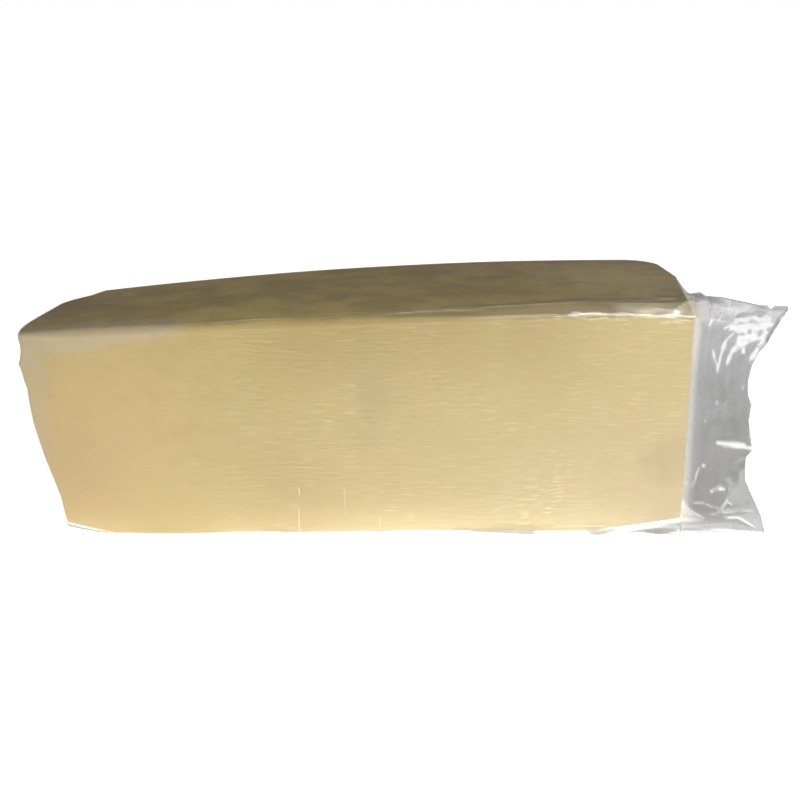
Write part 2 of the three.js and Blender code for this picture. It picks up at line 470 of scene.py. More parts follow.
class Tree:
    """A node tree with short calls to add and link nodes.

    Args:
        tree: the tree to fill.
    """

    def __init__(self, tree: bpy.types.NodeTree) -> None:
        """Keeps the tree and empties it."""
        self.tree = tree
        tree.nodes.clear()

    def add(self, kind: str, inputs: dict | None = None, **settings: object) -> bpy.types.Node:
        """Adds a node.

        Args:
            kind: type of the node.
            inputs: socket name or number to a constant or to the output socket that feeds it.
            settings: properties of the node.

        Returns:
            The new node.
        """
        node = self.tree.nodes.new(kind)
        for key, value in settings.items():
            setattr(node, key, value)
        for key, value in (inputs or {}).items():
            if isinstance(value, bpy.types.NodeSocket):
                self.tree.links.new(value, node.inputs[key])
            else:
                node.inputs[key].default_value = value
        return node

    def math(self, operation: str, first: object, second: object = 0.0) -> bpy.types.NodeSocket:
        """Output of a Math node."""
        return self.add("ShaderNodeMath", {0: first, 1: second}, operation=operation).outputs[0]

    def times(self, *factors: object) -> bpy.types.NodeSocket:
        """Product of numbers."""
        product = factors[0]
        for factor in factors[1:]:
            product = self.math("MULTIPLY", product, factor)
        return product

    def ramp(
        self, value: object, low: float, high: float, start: float = 0.0, end: float = 1.0
    ) -> bpy.types.NodeSocket:
        """Output of a smooth Map Range node."""
        inputs = {"Value": value, "From Min": low, "From Max": high, "To Min": start, "To Max": end}
        return self.add("ShaderNodeMapRange", inputs, interpolation_type="SMOOTHSTEP").outputs[0]

    def line(self, value: object, start: float, end: float) -> bpy.types.NodeSocket:
        """Straight line from start at 0 to end at 1."""
        return self.math("ADD", self.math("MULTIPLY", value, end - start), start)

    def blend(self, factor: object, first: object, second: object, kind: str = "MIX") -> bpy.types.NodeSocket:
        """Output of a colour Mix node."""
        inputs = {0: factor, 6: first, 7: second}
        return self.add("ShaderNodeMix", inputs, data_type="RGBA", blend_type=kind).outputs[2]

    def noise(self, vector: object, scale: object, detail: float = 2.0) -> bpy.types.NodeSocket:
        """Factor of a Noise Texture node."""
        inputs = {"Vector": vector, "Scale": scale, "Detail": detail}
        return self.add("ShaderNodeTexNoise", inputs).outputs[0]

    def vector(self, operation: str, first: object, second: object = (0, 0, 0)) -> bpy.types.NodeSocket:
        """Output of a Vector Math node."""
        node = self.add("ShaderNodeVectorMath", {0: first, 1: second}, operation=operation)
        return node.outputs["Value" if operation in ("DISTANCE", "LENGTH") else "Vector"]

    def parts(self, vector: object) -> tuple[bpy.types.NodeSocket, ...]:
        """The three coordinates of a vector."""
        return tuple(self.add("ShaderNodeSeparateXYZ", {0: vector}).outputs)

    def choose(self, factor: object, first: object, second: object) -> bpy.types.NodeSocket:
        """Output of a Mix node for numbers."""
        return self.add("ShaderNodeMix", {0: factor, 2: first, 3: second}).outputs[0]

    def bump(self, height: object, strength: float, distance: float) -> bpy.types.NodeSocket:
        """Output of a Bump node."""
        inputs = {"Strength": strength, "Distance": distance, "Height": height}
        return self.add("ShaderNodeBump", inputs).outputs[0]

    def place(self, scale: Triple = (1, 1, 1)) -> bpy.types.NodeSocket:
        """Object coordinates, stretched."""
        coordinates = self.add("ShaderNodeTexCoord").outputs["Object"]
        return self.add("ShaderNodeMapping", {"Vector": coordinates, "Scale": scale}).outputs[0]

    def slant(self, size: Triple, angle: float) -> bpy.types.NodeSocket:
        """Object coordinates that rise along the block by an angle in degrees, in units of a size."""
        coordinates = self.add("ShaderNodeTexCoord").outputs["Object"]
        inputs = {"Vector": coordinates, "Rotation": (0, -math.radians(angle), 0), "Scale": size}
        return self.add("ShaderNodeMapping", inputs, vector_type="TEXTURE").outputs[0]

    def attribute(self, name: str) -> bpy.types.NodeSocket:
        """Number that the piece's mesh holds under a name."""
        return self.add("ShaderNodeAttribute", attribute_name=name).outputs["Fac"]


def new_group(name: str, kind: str, inputs: dict[str, str], outputs: dict[str, str]) -> bpy.types.NodeTree:
    """Empty node group with named sockets.

    Args:
        name: name of the group.
        kind: type of the tree.
        inputs: socket name to socket type.
        outputs: socket name to socket type.

    Returns:
        The new group.
    """
    group = bpy.data.node_groups.new(name, kind)
    for direction, sockets in (("INPUT", inputs), ("OUTPUT", outputs)):
        for socket, socket_type in sockets.items():
            group.interface.new_socket(socket, in_out=direction, socket_type=socket_type)
    return group


def new_material(name: str) -> tuple[bpy.types.Material, Tree]:
    """Empty material and its node tree."""
    material = bpy.data.materials.new(name)
    material.use_nodes = True
    return material, Tree(material.node_tree)


class Effects:
    """Shader effects that more than one finish uses, each built once as a node group."""

    def __init__(self) -> None:
        """Builds the groups."""
        self.clouds = self._clouds()
        self.grain = self._grain()

    def patches(self, tree: Tree, scale: float, low: float, high: float) -> bpy.types.NodeSocket:
        """Mask of soft patches in a material."""
        return self._use(tree, self.clouds, {"Scale": scale, "Low": low, "High": high})

    def relief(self, tree: Tree, broad: float, fine: float, fine_share: float) -> bpy.types.NodeSocket:
        """Height of fine relief in a material."""
        return self._use(tree, self.grain, {"Broad": broad, "Fine": fine, "Fine Share": fine_share})

    @staticmethod
    def _clouds() -> bpy.types.NodeTree:
        """Soft patches: a mask that wanders between 0 and 1."""
        sockets = {"Scale": "NodeSocketFloat", "Low": "NodeSocketFloat", "High": "NodeSocketFloat"}
        group = new_group("soft_patches", "ShaderNodeTree", sockets, {"Mask": "NodeSocketFloat"})
        tree = Tree(group)
        given = tree.add("NodeGroupInput")
        noise = tree.noise(tree.place(), given.outputs["Scale"], 3.0)
        inputs = {"Value": noise, "From Min": given.outputs["Low"], "From Max": given.outputs["High"]}
        mask = tree.add("ShaderNodeMapRange", inputs, interpolation_type="SMOOTHSTEP").outputs[0]
        tree.add("NodeGroupOutput", {"Mask": mask})
        return group

    @staticmethod
    def _grain() -> bpy.types.NodeTree:
        """Fine relief: broad and fine noise added up as a height."""
        sockets = {"Broad": "NodeSocketFloat", "Fine": "NodeSocketFloat", "Fine Share": "NodeSocketFloat"}
        group = new_group("fine_relief", "ShaderNodeTree", sockets, {"Height": "NodeSocketFloat"})
        tree = Tree(group)
        given = tree.add("NodeGroupInput")
        where = tree.place()
        broad = tree.noise(where, given.outputs["Broad"])
        fine = tree.times(tree.noise(where, given.outputs["Fine"], 4.0), given.outputs["Fine Share"])
        tree.add("NodeGroupOutput", {"Height": tree.math("ADD", broad, fine)})
        return group

    @staticmethod
    def _use(tree: Tree, group: bpy.types.NodeTree, values: dict[str, float]) -> bpy.types.NodeSocket:
        """Places a group in a material with its own values and gives its output."""
        node = tree.add("ShaderNodeGroup", node_tree=group)
        for key, value in values.items():
            node.inputs[key].default_value = value
        return node.outputs[0]


@dataclass(frozen=True)
class Smudge:
    """A soft patch of another tone on the cheese, used for stains and spots and for painted light and shade.
    """

    place: Triple
    size: float
    strength: float
    tone: Colour


@dataclass(frozen=True)
class Hairline:
    """A fine upright painted highlight on the cut face, where a wrinkle of the film catches the light."""

    x: float
    low: float
    high: float
    strength: float


@dataclass(frozen=True)
class CheeseFinish:
    """Pale yellow paste with faint patches, wire marks on the cut face, smudges on its skin, and painted
    shade and highlights.

    Patches have a scale and the two ends of their ramp. Ramps have their two ends, and the values there where
    these aren't 0 and 1. The grain has its broad scale, its fine scale and the share of the fine.
    """

    pale: Colour = (0.70, 0.543, 0.217, 1)
    deep: Colour = (0.655, 0.498, 0.188, 1)
    # Painted highlight of the wire marks on the cut face.
    bright: Colour = (0.82, 0.665, 0.32, 1)
    shade: Colour = (0.49, 0.345, 0.115, 1)
    skin: Colour = (0.75, 0.57, 0.21, 1)
    skin_deep: Colour = (0.59, 0.44, 0.15, 1)
    dark: Colour = (0.42, 0.325, 0.15, 1)
    stain: Colour = (0.60, 0.47, 0.22, 1)
    grey: Colour = (0.72, 0.60, 0.36, 1)
    painted_top_light: Colour = (0.95, 0.75, 0.36, 1)
    painted_face_light: Colour = (0.86, 0.63, 0.285, 1)
    rind: Colour = (0.68, 0.465, 0.21, 1)
    gleam: Colour = (0.95, 0.87, 0.62, 1)
    hairlines: tuple[Hairline, ...] = (
        Hairline(-29 * MM, 0.0, 13.5 * MM, 0.7),
        Hairline(-28 * MM, 21 * MM, 25.5 * MM, 0.75),
        Hairline(-6 * MM, 10 * MM, 25 * MM, 0.4),
        Hairline(11 * MM, 3 * MM, 9 * MM, 0.45),
        Hairline(26 * MM, 2 * MM, 12 * MM, 0.2),
    )
    # Pale dashes low on the right of the cut face: painted highlights where crinkles catch the light.
    crinkle: Smudge = Smudge((88 * MM, -48 * MM, 16 * MM), 50 * MM, 0.5, (0.98, 0.88, 0.56, 1))
    dash: Triple = (6 * MM, 1.0, 1.1 * MM)
    dash_slant: float = 11.0
    dash_ramp: Ramp = (0.52, 0.68)
    mottle: Triple = (20, 0.3, 0.7)
    mottle_share: float = 0.45
    streak_stretch: Triple = (105, 1, 1000)
    streak_ramp: Ramp = (0.54, 0.72)
    strewing: Triple = (30, 0.3, 0.56)
    strewn_ramp: Ramp = (-120 * MM, -20 * MM, 0.15, 0.75)
    strewn_end: Ramp = (118 * MM, 148 * MM, 0.0, 0.7)
    rub_stretch: Triple = (48, 60, 60)
    rub_ramp: Ramp = (0.35, 0.65)
    # Painted shade along the top of the cut face: its rise with height, and where it fades in and out along
    # the block.
    shadow_rise: Ramp = (66 * MM, 106 * MM, 0.0, 0.43)
    shadow_start: Ramp = (-70 * MM, -10 * MM)
    shadow_end: Ramp = (135 * MM, 75 * MM)
    wander: float = 4.0 * MM
    wander_scale: float = 130.0
    hairline_ramp: Ramp = (0.4 * MM, 0.1 * MM)
    hairline_end: float = 0.6 * MM
    spot_scale: float = 140.0
    spot_ragged: float = 0.9
    spot_ramp: Ramp = (1.25, 0.5)
    grain: Triple = (160, 420, 0.25)
    bump: Pair = (0.2, 0.2 * MM)
    roughness: float = 0.48
    subsurface: float = 0.1
    subsurface_radius: Triple = (6 * MM, 4 * MM, 1.5 * MM)

    def smudges(self) -> tuple[Smudge, ...]:
        """The stain and darker patches on the cut face, the smudges and damp spots on the top, and painted
        light and shade.
        """
        face, top = -46 * MM, 112 * MM
        return (
            Smudge((5 * MM, face, 86 * MM), 20 * MM, 0.4, self.stain),
            Smudge((6 * MM, face, 72 * MM), 19 * MM, 0.62, self.stain),
            Smudge((3 * MM, face, 55 * MM), 18 * MM, 0.35, self.stain),
            # Painted light: the left of the cut face made brighter and warmer.
            Smudge((-125 * MM, face, 60 * MM), 90 * MM, 0.45, self.painted_face_light),
            Smudge((-140 * MM, face, 28 * MM), 62 * MM, 0.55, self.rind),
            # Darker patches low on the cut face.
            Smudge((-30 * MM, face, 20 * MM), 52 * MM, 0.2, self.shade),
            Smudge((147 * MM, face, 38 * MM), 22 * MM, 0.4, self.shade),
            # Painted shade over the left end of the top.
            Smudge((-150 * MM, -10 * MM, 104 * MM), 60 * MM, 0.6, self.dark),
            # Painted light: the right of the top made paler.
            Smudge((135 * MM, 25 * MM, top), 70 * MM, 0.8, self.painted_top_light),
            Smudge((-109 * MM, -25 * MM, top), 8 * MM, 0.5, self.dark),
            Smudge((-28 * MM, 2 * MM, top), 10 * MM, 0.35, self.dark),
            Smudge((14 * MM, 4 * MM, top), 9 * MM, 0.3, self.dark),
            Smudge((71 * MM, 19 * MM, top), 8 * MM, 0.3, self.dark),
            Smudge((93 * MM, 31 * MM, top), 16 * MM, 0.55, self.grey),
            Smudge((120 * MM, 41 * MM, top), 10 * MM, 0.5, self.grey),
            Smudge((45 * MM, 21 * MM, top), 14 * MM, 0.4, self.grey),
        )

    def material(self, effects: Effects) -> bpy.types.Material:
        """Builds the material."""
        material, tree = new_material("emmental_paste")
        patches = effects.patches(tree, *self.mottle)
        paste = tree.blend(tree.times(patches, self.mottle_share), self.pale, self.deep)
        # Pale streaks: painted highlights where the wire marks catch the light.
        paste = tree.blend(self._streaks(tree, effects), paste, self.bright)
        # Painted highlights: pale dashes in the crinkle patch.
        dashes = tree.ramp(tree.noise(tree.slant(self.dash, self.dash_slant), 1.0, 1.0), *self.dash_ramp)
        paste = tree.blend(tree.times(dashes, self._spot(tree, self.crinkle)), paste, self.crinkle.tone)
        # Painted shade along the top of the cut face.
        paste = tree.blend(self._shadow(tree), paste, self.shade)
        rubbed = tree.ramp(tree.noise(tree.place(self.rub_stretch), 1.0, 3.0), *self.rub_ramp)
        cut = tree.attribute("cut")
        colour = tree.blend(cut, tree.blend(rubbed, self.skin, self.skin_deep), paste)
        for smudge in self.smudges():
            colour = tree.blend(self._spot(tree, smudge), colour, smudge.tone)
        # Painted highlights where wrinkles of the film catch the light.
        for hairline in self.hairlines:
            colour = tree.blend(tree.times(self._wrinkle_highlight(tree, hairline), cut), colour, self.gleam)
        shader = tree.add("ShaderNodeBsdfPrincipled", {
            "Base Color": colour,
            "Roughness": self.roughness,
            "Subsurface Weight": self.subsurface,
            "Subsurface Radius": self.subsurface_radius,
            "Subsurface Scale": 1.0,
            "Normal": tree.bump(effects.relief(tree, *self.grain), *self.bump),
        })
        tree.add("ShaderNodeOutputMaterial", {"Surface": shader.outputs[0]})
        return material

    def _streaks(self, tree: Tree, effects: Effects) -> bpy.types.NodeSocket:
        """Mask of the pale streaks of the wire, painted highlights on its marks, strewn in patches and denser
        to the right.
        """
        streaks = tree.ramp(tree.noise(tree.place(self.streak_stretch), 1.0, 1.0), *self.streak_ramp)
        across = tree.parts(tree.place())[0]
        strewn = tree.times(effects.patches(tree, *self.strewing), tree.ramp(across, *self.strewn_ramp))
        strewn = tree.math("MAXIMUM", strewn, tree.ramp(across, *self.strewn_end))
        return tree.times(streaks, strewn)

    def _wrinkle_highlight(self, tree: Tree, hairline: Hairline) -> bpy.types.NodeSocket:
        """Mask of a hairline of painted highlight that wanders a little."""
        across, _, up = tree.parts(tree.place())
        wander = tree.times(tree.noise(tree.place((0, 0, 1)), self.wander_scale), self.wander)
        apart = tree.math("ABSOLUTE", tree.math("SUBTRACT", tree.math("ADD", across, wander), hairline.x))
        near = tree.ramp(apart, *self.hairline_ramp, 0.0, hairline.strength)
        above = tree.ramp(up, hairline.low - self.hairline_end, hairline.low + self.hairline_end)
        below = tree.ramp(up, hairline.high + self.hairline_end, hairline.high - self.hairline_end)
        return tree.times(near, above, below)

    def _shadow(self, tree: Tree) -> bpy.types.NodeSocket:
        """Mask of painted shade along the top of the cut face, strongest about its middle."""
        across, _, up = tree.parts(tree.place())
        middle = tree.times(tree.ramp(across, *self.shadow_start), tree.ramp(across, *self.shadow_end))
        return tree.times(tree.ramp(up, *self.shadow_rise), middle)

    def _spot(self, tree: Tree, smudge: Smudge) -> bpy.types.NodeSocket:
        """Mask of a smudge with a ragged border."""
        apart = tree.vector("DISTANCE", tree.place(), smudge.place)
        ragged = tree.times(tree.noise(tree.place(), self.spot_scale), self.spot_ragged * smudge.size)
        outer, inner = (share * smudge.size for share in self.spot_ramp)
        return tree.ramp(tree.math("ADD", apart, ragged), outer, inner, 0.0, smudge.strength)


@dataclass(frozen=True)
class FilmFinish:
    """Clear glossy film: see-through where it clings, hazy where it is loose, and white along its creases and
    where highlights, sheen and reflections are painted on it.
    """

    thin: Colour = (0.42, 0.42, 0.46, 1)
    thick: Colour = (0.235, 0.235, 0.232, 1)
    whitening_and_glint: Colour = (0.98, 0.98, 0.97, 1)
    cream: Colour = (0.98, 0.87, 0.58, 1)
    cling_haze: float = 0.01
    loose_haze: float = 0.5
    crease_haze: float = 0.95
    body_roughness: float = 0.4
    gloss_roughness: float = 0.07
    refraction: float = 1.45
    grain: Triple = (130, 420, 0.5)
    bump: Pair = (0.12, 0.5 * MM)
    clouds: Triple = (60, 0.3, 0.75)
    cloud_range: Pair = (0.95, 1.05)
    streak_stretch: Triple = (240, 240, 12)
    streak_range: Pair = (0.86, 1.14)

    def material(self, effects: Effects) -> bpy.types.Material:
        """Builds the material."""
        material, tree = new_material("clear_film")
        loose = tree.attribute("loose")
        bump = tree.bump(effects.relief(tree, *self.grain), *self.bump)
        cloudy = tree.line(effects.patches(tree, *self.clouds), *self.cloud_range)
        streaks = tree.line(tree.noise(tree.place(self.streak_stretch), 1.0, 3.0), *self.streak_range)
        grey = tree.times(tree.line(loose, self.cling_haze, self.loose_haze), cloudy, streaks)
        # White of the film: whitening along its creases, and painted highlights, sheen and reflections.
        white = tree.times(tree.attribute("whitening_and_glint"), self.crease_haze)
        hazy = tree.math("SUBTRACT", tree.math("ADD", grey, white), tree.times(grey, white))
        # Cream tone of the painted highlights and sheen that lie over the cheese.
        veil = tree.blend(tree.attribute("warm"), self.whitening_and_glint, self.cream)
        tone = tree.blend(tree.math("DIVIDE", white, hazy), tree.blend(loose, self.thin, self.thick), veil)
        body = tree.add("ShaderNodeBsdfPrincipled", {
            "Base Color": tone,
            "Roughness": self.body_roughness,
            "Normal": bump,
        })
        clear = tree.add("ShaderNodeBsdfTransparent", {"Color": (1, 1, 1, 1)})
        sheet = tree.add("ShaderNodeMixShader", {0: hazy, 1: clear.outputs[0], 2: body.outputs[0]})
        shine = tree.add("ShaderNodeBsdfAnisotropic", {"Roughness": self.gloss_roughness, "Normal": bump})
        inner = tree.add("ShaderNodeNewGeometry").outputs["Backfacing"]
        refraction = tree.line(inner, self.refraction, 1 / self.refraction)
        fresnel = tree.add("ShaderNodeFresnel", {"IOR": refraction, "Normal": bump}).outputs[0]
        film = tree.add("ShaderNodeMixShader", {0: fresnel, 1: sheet.outputs[0], 2: shine.outputs[0]})
        tree.add("ShaderNodeOutputMaterial", {"Surface": film.outputs[0]})
        return material


@dataclass(frozen=True)
class FloorFinish:
    """Plain white floor that glows as a lit table does, less so further from the block."""

    colour: Colour = (0.86, 0.86, 0.86, 1)
    shown_glow: float = 0.9
    rim_glow: float = 0.9
    near_glow: float = 0.45
    far_glow: float = 0.2
    rim: float = 0.035
    near: float = 0.06
    far: float = 0.28
    middle: Triple = (-10 * MM, 8 * MM, 0)
    half: Triple = (135 * MM, 54 * MM, 1)
    clouds: Triple = (3, 0.2, 0.8)
    cloud_tone: float = 0.99
    roughness: float = 0.9

    def material(self, effects: Effects) -> bpy.types.Material:
        """Builds the material."""
        material, tree = new_material("white_floor")
        dimmer = tuple(self.cloud_tone * part for part in self.colour[:3]) + (1,)
        shader = tree.add("ShaderNodeBsdfPrincipled", {
            "Base Color": tree.blend(effects.patches(tree, *self.clouds), self.colour, dimmer),
            "Roughness": self.roughness,
            "Emission Color": (1, 1, 1, 1),
            "Emission Strength": self._glow(tree),
        })
        tree.add("ShaderNodeOutputMaterial", {"Surface": shader.outputs[0]})
        return material

    def _glow(self, tree: Tree) -> bpy.types.NodeSocket:
        """Glow that falls off round the block, and stays white to the eye."""
        apart = tree.vector("ABSOLUTE", tree.vector("SUBTRACT", tree.place(), self.middle))
        apart = tree.vector("LENGTH", tree.vector("MAXIMUM", tree.vector("SUBTRACT", apart, self.half)))
        around = tree.ramp(apart, self.near, self.far, self.near_glow, 0.0)
        beside = tree.ramp(apart, 0.0, self.rim, self.rim_glow, 0.0)
        glow = tree.math("ADD", tree.math("ADD", around, beside), self.far_glow)
        seen = tree.add("ShaderNodeLightPath").outputs["Is Camera Ray"]
        return tree.choose(seen, glow, self.shown_glow)


@dataclass
class WireMarks:
    """Geometry Nodes relief of the wire that cut the face: short shallow steps along the block.

    The ramps fade the marks in between patches, from the left end and from the foot.
    """

    depth: float = 0.4 * MM
    pitch: float = 1.3 * MM
    run: float = 7.5 * MM
    patch: float = 28 * MM
    waviness: float = 40.0
    wave_height: float = 0.04
    level: float = 0.7
    outward: float = -2.0
    patch_ramp: Ramp = (0.38, 0.6, 0.12, 1.0)
    left_ramp: Ramp = (-130 * MM, -20 * MM, 0.05, 1.0)
    foot_ramp: Ramp = (8 * MM, 34 * MM, 0.35, 1.0)
    tree: bpy.types.NodeTree = field(init=False)

    INPUTS = {
        "Geometry": "NodeSocketGeometry",
        "Depth": "NodeSocketFloat",
        "Marks per Metre": "NodeSocketFloat",
        "Runs per Metre": "NodeSocketFloat",
        "Patches per Metre": "NodeSocketFloat",
        "Material": "NodeSocketMaterial",
    }

    def __post_init__(self) -> None:
        """Builds the tree."""
        outputs = {"Geometry": "NodeSocketGeometry"}
        self.tree = new_group("wire_marks", "GeometryNodeTree", self.INPUTS, outputs)
        tree = Tree(self.tree)
        given = tree.add("NodeGroupInput")
        place = tree.add("GeometryNodeInputPosition").outputs[0]
        runs, marks = given.outputs["Runs per Metre"], given.outputs["Marks per Metre"]
        stretch = tree.add("ShaderNodeCombineXYZ", {0: runs, 2: marks}).outputs[0]
        where = tree.vector("MULTIPLY", place, stretch)
        flat = tree.vector("MULTIPLY", place, (1, 0, 1))
        wave = tree.times(tree.noise(flat, self.waviness), self.wave_height)
        where = tree.vector("ADD", where, tree.add("ShaderNodeCombineXYZ", {2: wave}).outputs[0])
        steps = tree.math("SUBTRACT", tree.noise(where, 1.0, 0.0), self.level)
        patches = tree.ramp(tree.noise(flat, given.outputs["Patches per Metre"]), *self.patch_ramp)
        cut = tree.add("GeometryNodeInputNamedAttribute", {"Name": "cut"}, data_type="FLOAT").outputs[0]
        across, _, up = tree.parts(place)
        marked = tree.times(tree.ramp(across, *self.left_ramp), tree.ramp(up, *self.foot_ramp))
        height = tree.times(steps, patches, marked, cut, given.outputs["Depth"])
        offset = tree.add("ShaderNodeCombineXYZ", {1: tree.times(height, self.outward)}).outputs[0]
        moved = tree.add("GeometryNodeSetPosition", {"Geometry": given.outputs["Geometry"], "Offset": offset})
        real = tree.add("GeometryNodeRealizeInstances", {"Geometry": moved.outputs[0]})
        dressed = tree.add("GeometryNodeSetMaterial", {
            "Geometry": real.outputs[0],
            "Material": given.outputs["Material"],
        })
        tree.add("NodeGroupOutput", {"Geometry": dressed.outputs[0]})

    def press_into(self, piece: bpy.types.Object, material: bpy.types.Material) -> None:
        """Presses the marks into a piece's mesh and gives it its material.

        Args:
            piece: object whose mesh has the attribute "cut".
            material: finish of the piece.
        """
        values = {
            "Depth": self.depth,
            "Marks per Metre": 1 / self.pitch,
            "Runs per Metre": 1 / self.run,
            "Patches per Metre": 1 / self.patch,
            "Material": material,
        }
        modifier = piece.modifiers.new("wire_marks", "NODES")
        modifier.node_group = self.tree
        for socket in self.tree.interface.items_tree:
            if socket.in_out == "INPUT" and socket.name in values:
                modifier[socket.identifier] = values[socket.name]
        graph = bpy.context.evaluated_depsgraph_get()
        pressed = piece.evaluated_get(graph)
        mesh = bpy.data.meshes.new_from_object(pressed, preserve_all_data_layers=True, depsgraph=graph)
        piece.modifiers.remove(modifier)
        piece.data = mesh


def put_piece(name: str, mesh: bpy.types.Mesh) -> bpy.types.Object:
    """Object for a mesh, at the origin and in the scene."""
    piece = bpy.data.objects.new(name, mesh)
    bpy.context.scene.collection.objects.link(piece)
    return piece


@dataclass
class CheeseBlock:
    """The block of cheese inside the film."""

    form: BlockForm
    outline: Outline = Outline(top=14, face=250, under=3, base=12, back=14, top_back=20)
    corner_steps: int = 12
    body_steps: int = 240
    cap_steps: int = 14
    cut_edge: Fade = Fade(2.0 * MM, 0.4 * MM)
    dents: Crumple = Crumple(seed=3, longest=150 * MM, shortest=50 * MM)
    dent: float = 0.15 * MM
    dent_share: float = 0.5
    dent_change: float = 0.4
    wear: Crumple = Crumple(seed=5, longest=40 * MM, shortest=12 * MM)
    edge_wear: float = 0.4 * MM
    wear_share: float = 0.4
    wear_change: float = 0.6
    wear_range: Pair = (0, 1.4)
    wear_place: float = 2 * MM
    wear_width: float = 4 * MM

    def build(self, marks: WireMarks, material: bpy.types.Material) -> bpy.types.Object:
        """Builds the block.

        Args:
            marks: relief of the cut face.
            material: finish of the cheese.

        Returns:
            The finished piece, riding on the body.
        """
        along = self.form.stations(self.corner_steps, self.body_steps)
        rings, normals = self.form.sections(along, self.outline)
        rings = rings - normals * self._sink(rings)[..., None]
        left = cap_rings(rings[0], self.cap_steps, self.form.left_end)
        right = cap_rings(rings[-1], self.cap_steps, self.form.right_end)[::-1]
        rings = np.concatenate([left, rings, right])
        cut = self._cut_mask(rings)
        mesh = loft_mesh("emmental_block", rings, Closing.POLE, Closing.POLE, {"cut": cut})
        piece = put_piece("emmental_block", mesh)
        marks.press_into(piece, material)
        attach(piece, BODY)
        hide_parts(NODE)
        return piece

    def _cut_mask(self, rings: Array) -> Array:
        """1 on the cut face, fading round its edges to 0 on the outer skin."""
        behind = rings[..., 1] - (self.form.cut_face_y + self.form.inset)
        return self.cut_edge.at(behind)

    def _sink(self, rings: Array) -> Array:
        """How far the surface lies below the plain form: slow dents and worn edges."""
        behind = rings[..., 1] - self.form.cut_face_y
        below = self.form.edge_height(rings[..., 0]) - rings[..., 2]
        at_edge = bell(behind - self.wear_place, self.wear_width)
        at_edge = at_edge * bell(below - self.wear_place, self.wear_width)
        worn = np.clip(self.wear_share + self.wear_change * self.wear.at(rings), *self.wear_range)
        dented = np.clip(self.dent_share + self.dent_change * self.dents.at(rings), 0, 1)
        return self.dent * dented + self.edge_wear * at_edge * worn


@dataclass(frozen=True)
class Stroke:
    """A crease in the film along a path of places on a sheet.

    Args:
        path: two coordinates of each place, in millimetres.
        white: how white the film is along it.
        line: half width of the white line, in millimetres.
        height: how far the crease stands out, in millimetres.
        width: half width of its ridge, in millimetres.
        end_share: how strong the crease is at its ends.
        border: where the white fades out and where it is full, as shares of the half width.
    """

    path: Places
    white: float = 0.6
    line: float = 0.45
    height: float = 0.3
    width: float = 1.2
    end_share: float = 0.4
    border: Pair = (1.35, 0.45)

    def press(self, first: Array, second: Array, ragged: Array | float = 0.0) -> tuple[Array, Array]:
        """Ridge and whitening of the crease, both thinner at its ends.

        Args:
            first: first coordinate of the places on the sheet, in metres.
            second: second coordinate.
            ragged: wandering of the border, in metres.

        Returns:
            Heights in metres, and whitening from 0 to 1.
        """
        apart, share = self._measure(first, second)
        full = mix(self.end_share, 1.0, np.sin(math.pi * share))
        ridge = self.height * MM * full * np.clip(1 - apart / (self.width * MM), 0, 1)
        outer, inner = (part * self.line * full * MM for part in self.border)
        return ridge, self.white * ease(apart + ragged, outer, inner)

    def _measure(self, first: Array, second: Array) -> tuple[Array, Array]:
        """Distance of places from the path, and the share of its length at which they lie."""
        places = np.array(self.path) * MM
        steps = np.diff(places, axis=0)
        lengths = np.linalg.norm(steps, axis=1)
        passed = np.concatenate([[0.0], np.cumsum(lengths)])
        nearest = np.full(first.shape, np.inf)
        share = np.zeros(first.shape)
        for place, step, length, start in zip(places, steps, lengths, passed):
            along = ((first - place[0]) * step[0] + (second - place[1]) * step[1]) / length**2
            along = np.clip(along, 0, 1)
            apart = np.hypot(first - place[0] - along * step[0], second - place[1] - along * step[1])
            share = np.where(apart < nearest, (start + along * length) / passed[-1], share)
            nearest = np.minimum(apart, nearest)
        return nearest, share


@dataclass
class Look:
    """Film at the points of some rings: its lift off the plain form, its looseness, its whitening and painted
    glints and sheen, and their warmth.
    """

    lift: Array
    loose: Array
    whitening_and_glint: Array
    warm: Array

    def add(
        self,
        lift: Array | float = 0.0,
        loose: Array | float = 0.0,
        whitening_and_glint: Array | float = 0.0,
        warm: float = 0.0,
    ) -> None:
        """Adds lift, and takes the stronger of the two looks elsewhere."""
        self.lift = self.lift + lift
        self.loose = np.maximum(self.loose, loose)
        self.warm = np.where(whitening_and_glint > self.whitening_and_glint, warm, self.warm)
        self.whitening_and_glint = np.maximum(self.whitening_and_glint, whitening_and_glint)


@dataclass
class Sheet:
    """Rings of film with the values that its finish reads."""

    rings: Array
    loose: Array
    whitening_and_glint: Array
    warm: Array

    def joined(self, *others: "Sheet") -> "Sheet":
        """This sheet with others after it."""
        names = ("rings", "loose", "whitening_and_glint", "warm")
        return Sheet(*(np.concatenate([getattr(part, name) for part in (self, *others)]) for name in names))


TENT: Places = (
    (-150, 2, 0.1, 5), (0, 2, 0.3, 6), (19, 2.5, 0.7, 8), (46, 4, 1.8, 12), (83, 5, 3.2, 18),
    (98, 6, 3.6, 24), (121, 6, 3.4, 26), (131, 6.5, 3.3, 28), (147, 9, 3.6, 34), (153, 12, 4.2, 36),
    (160, 16, 4.5, 40),
)
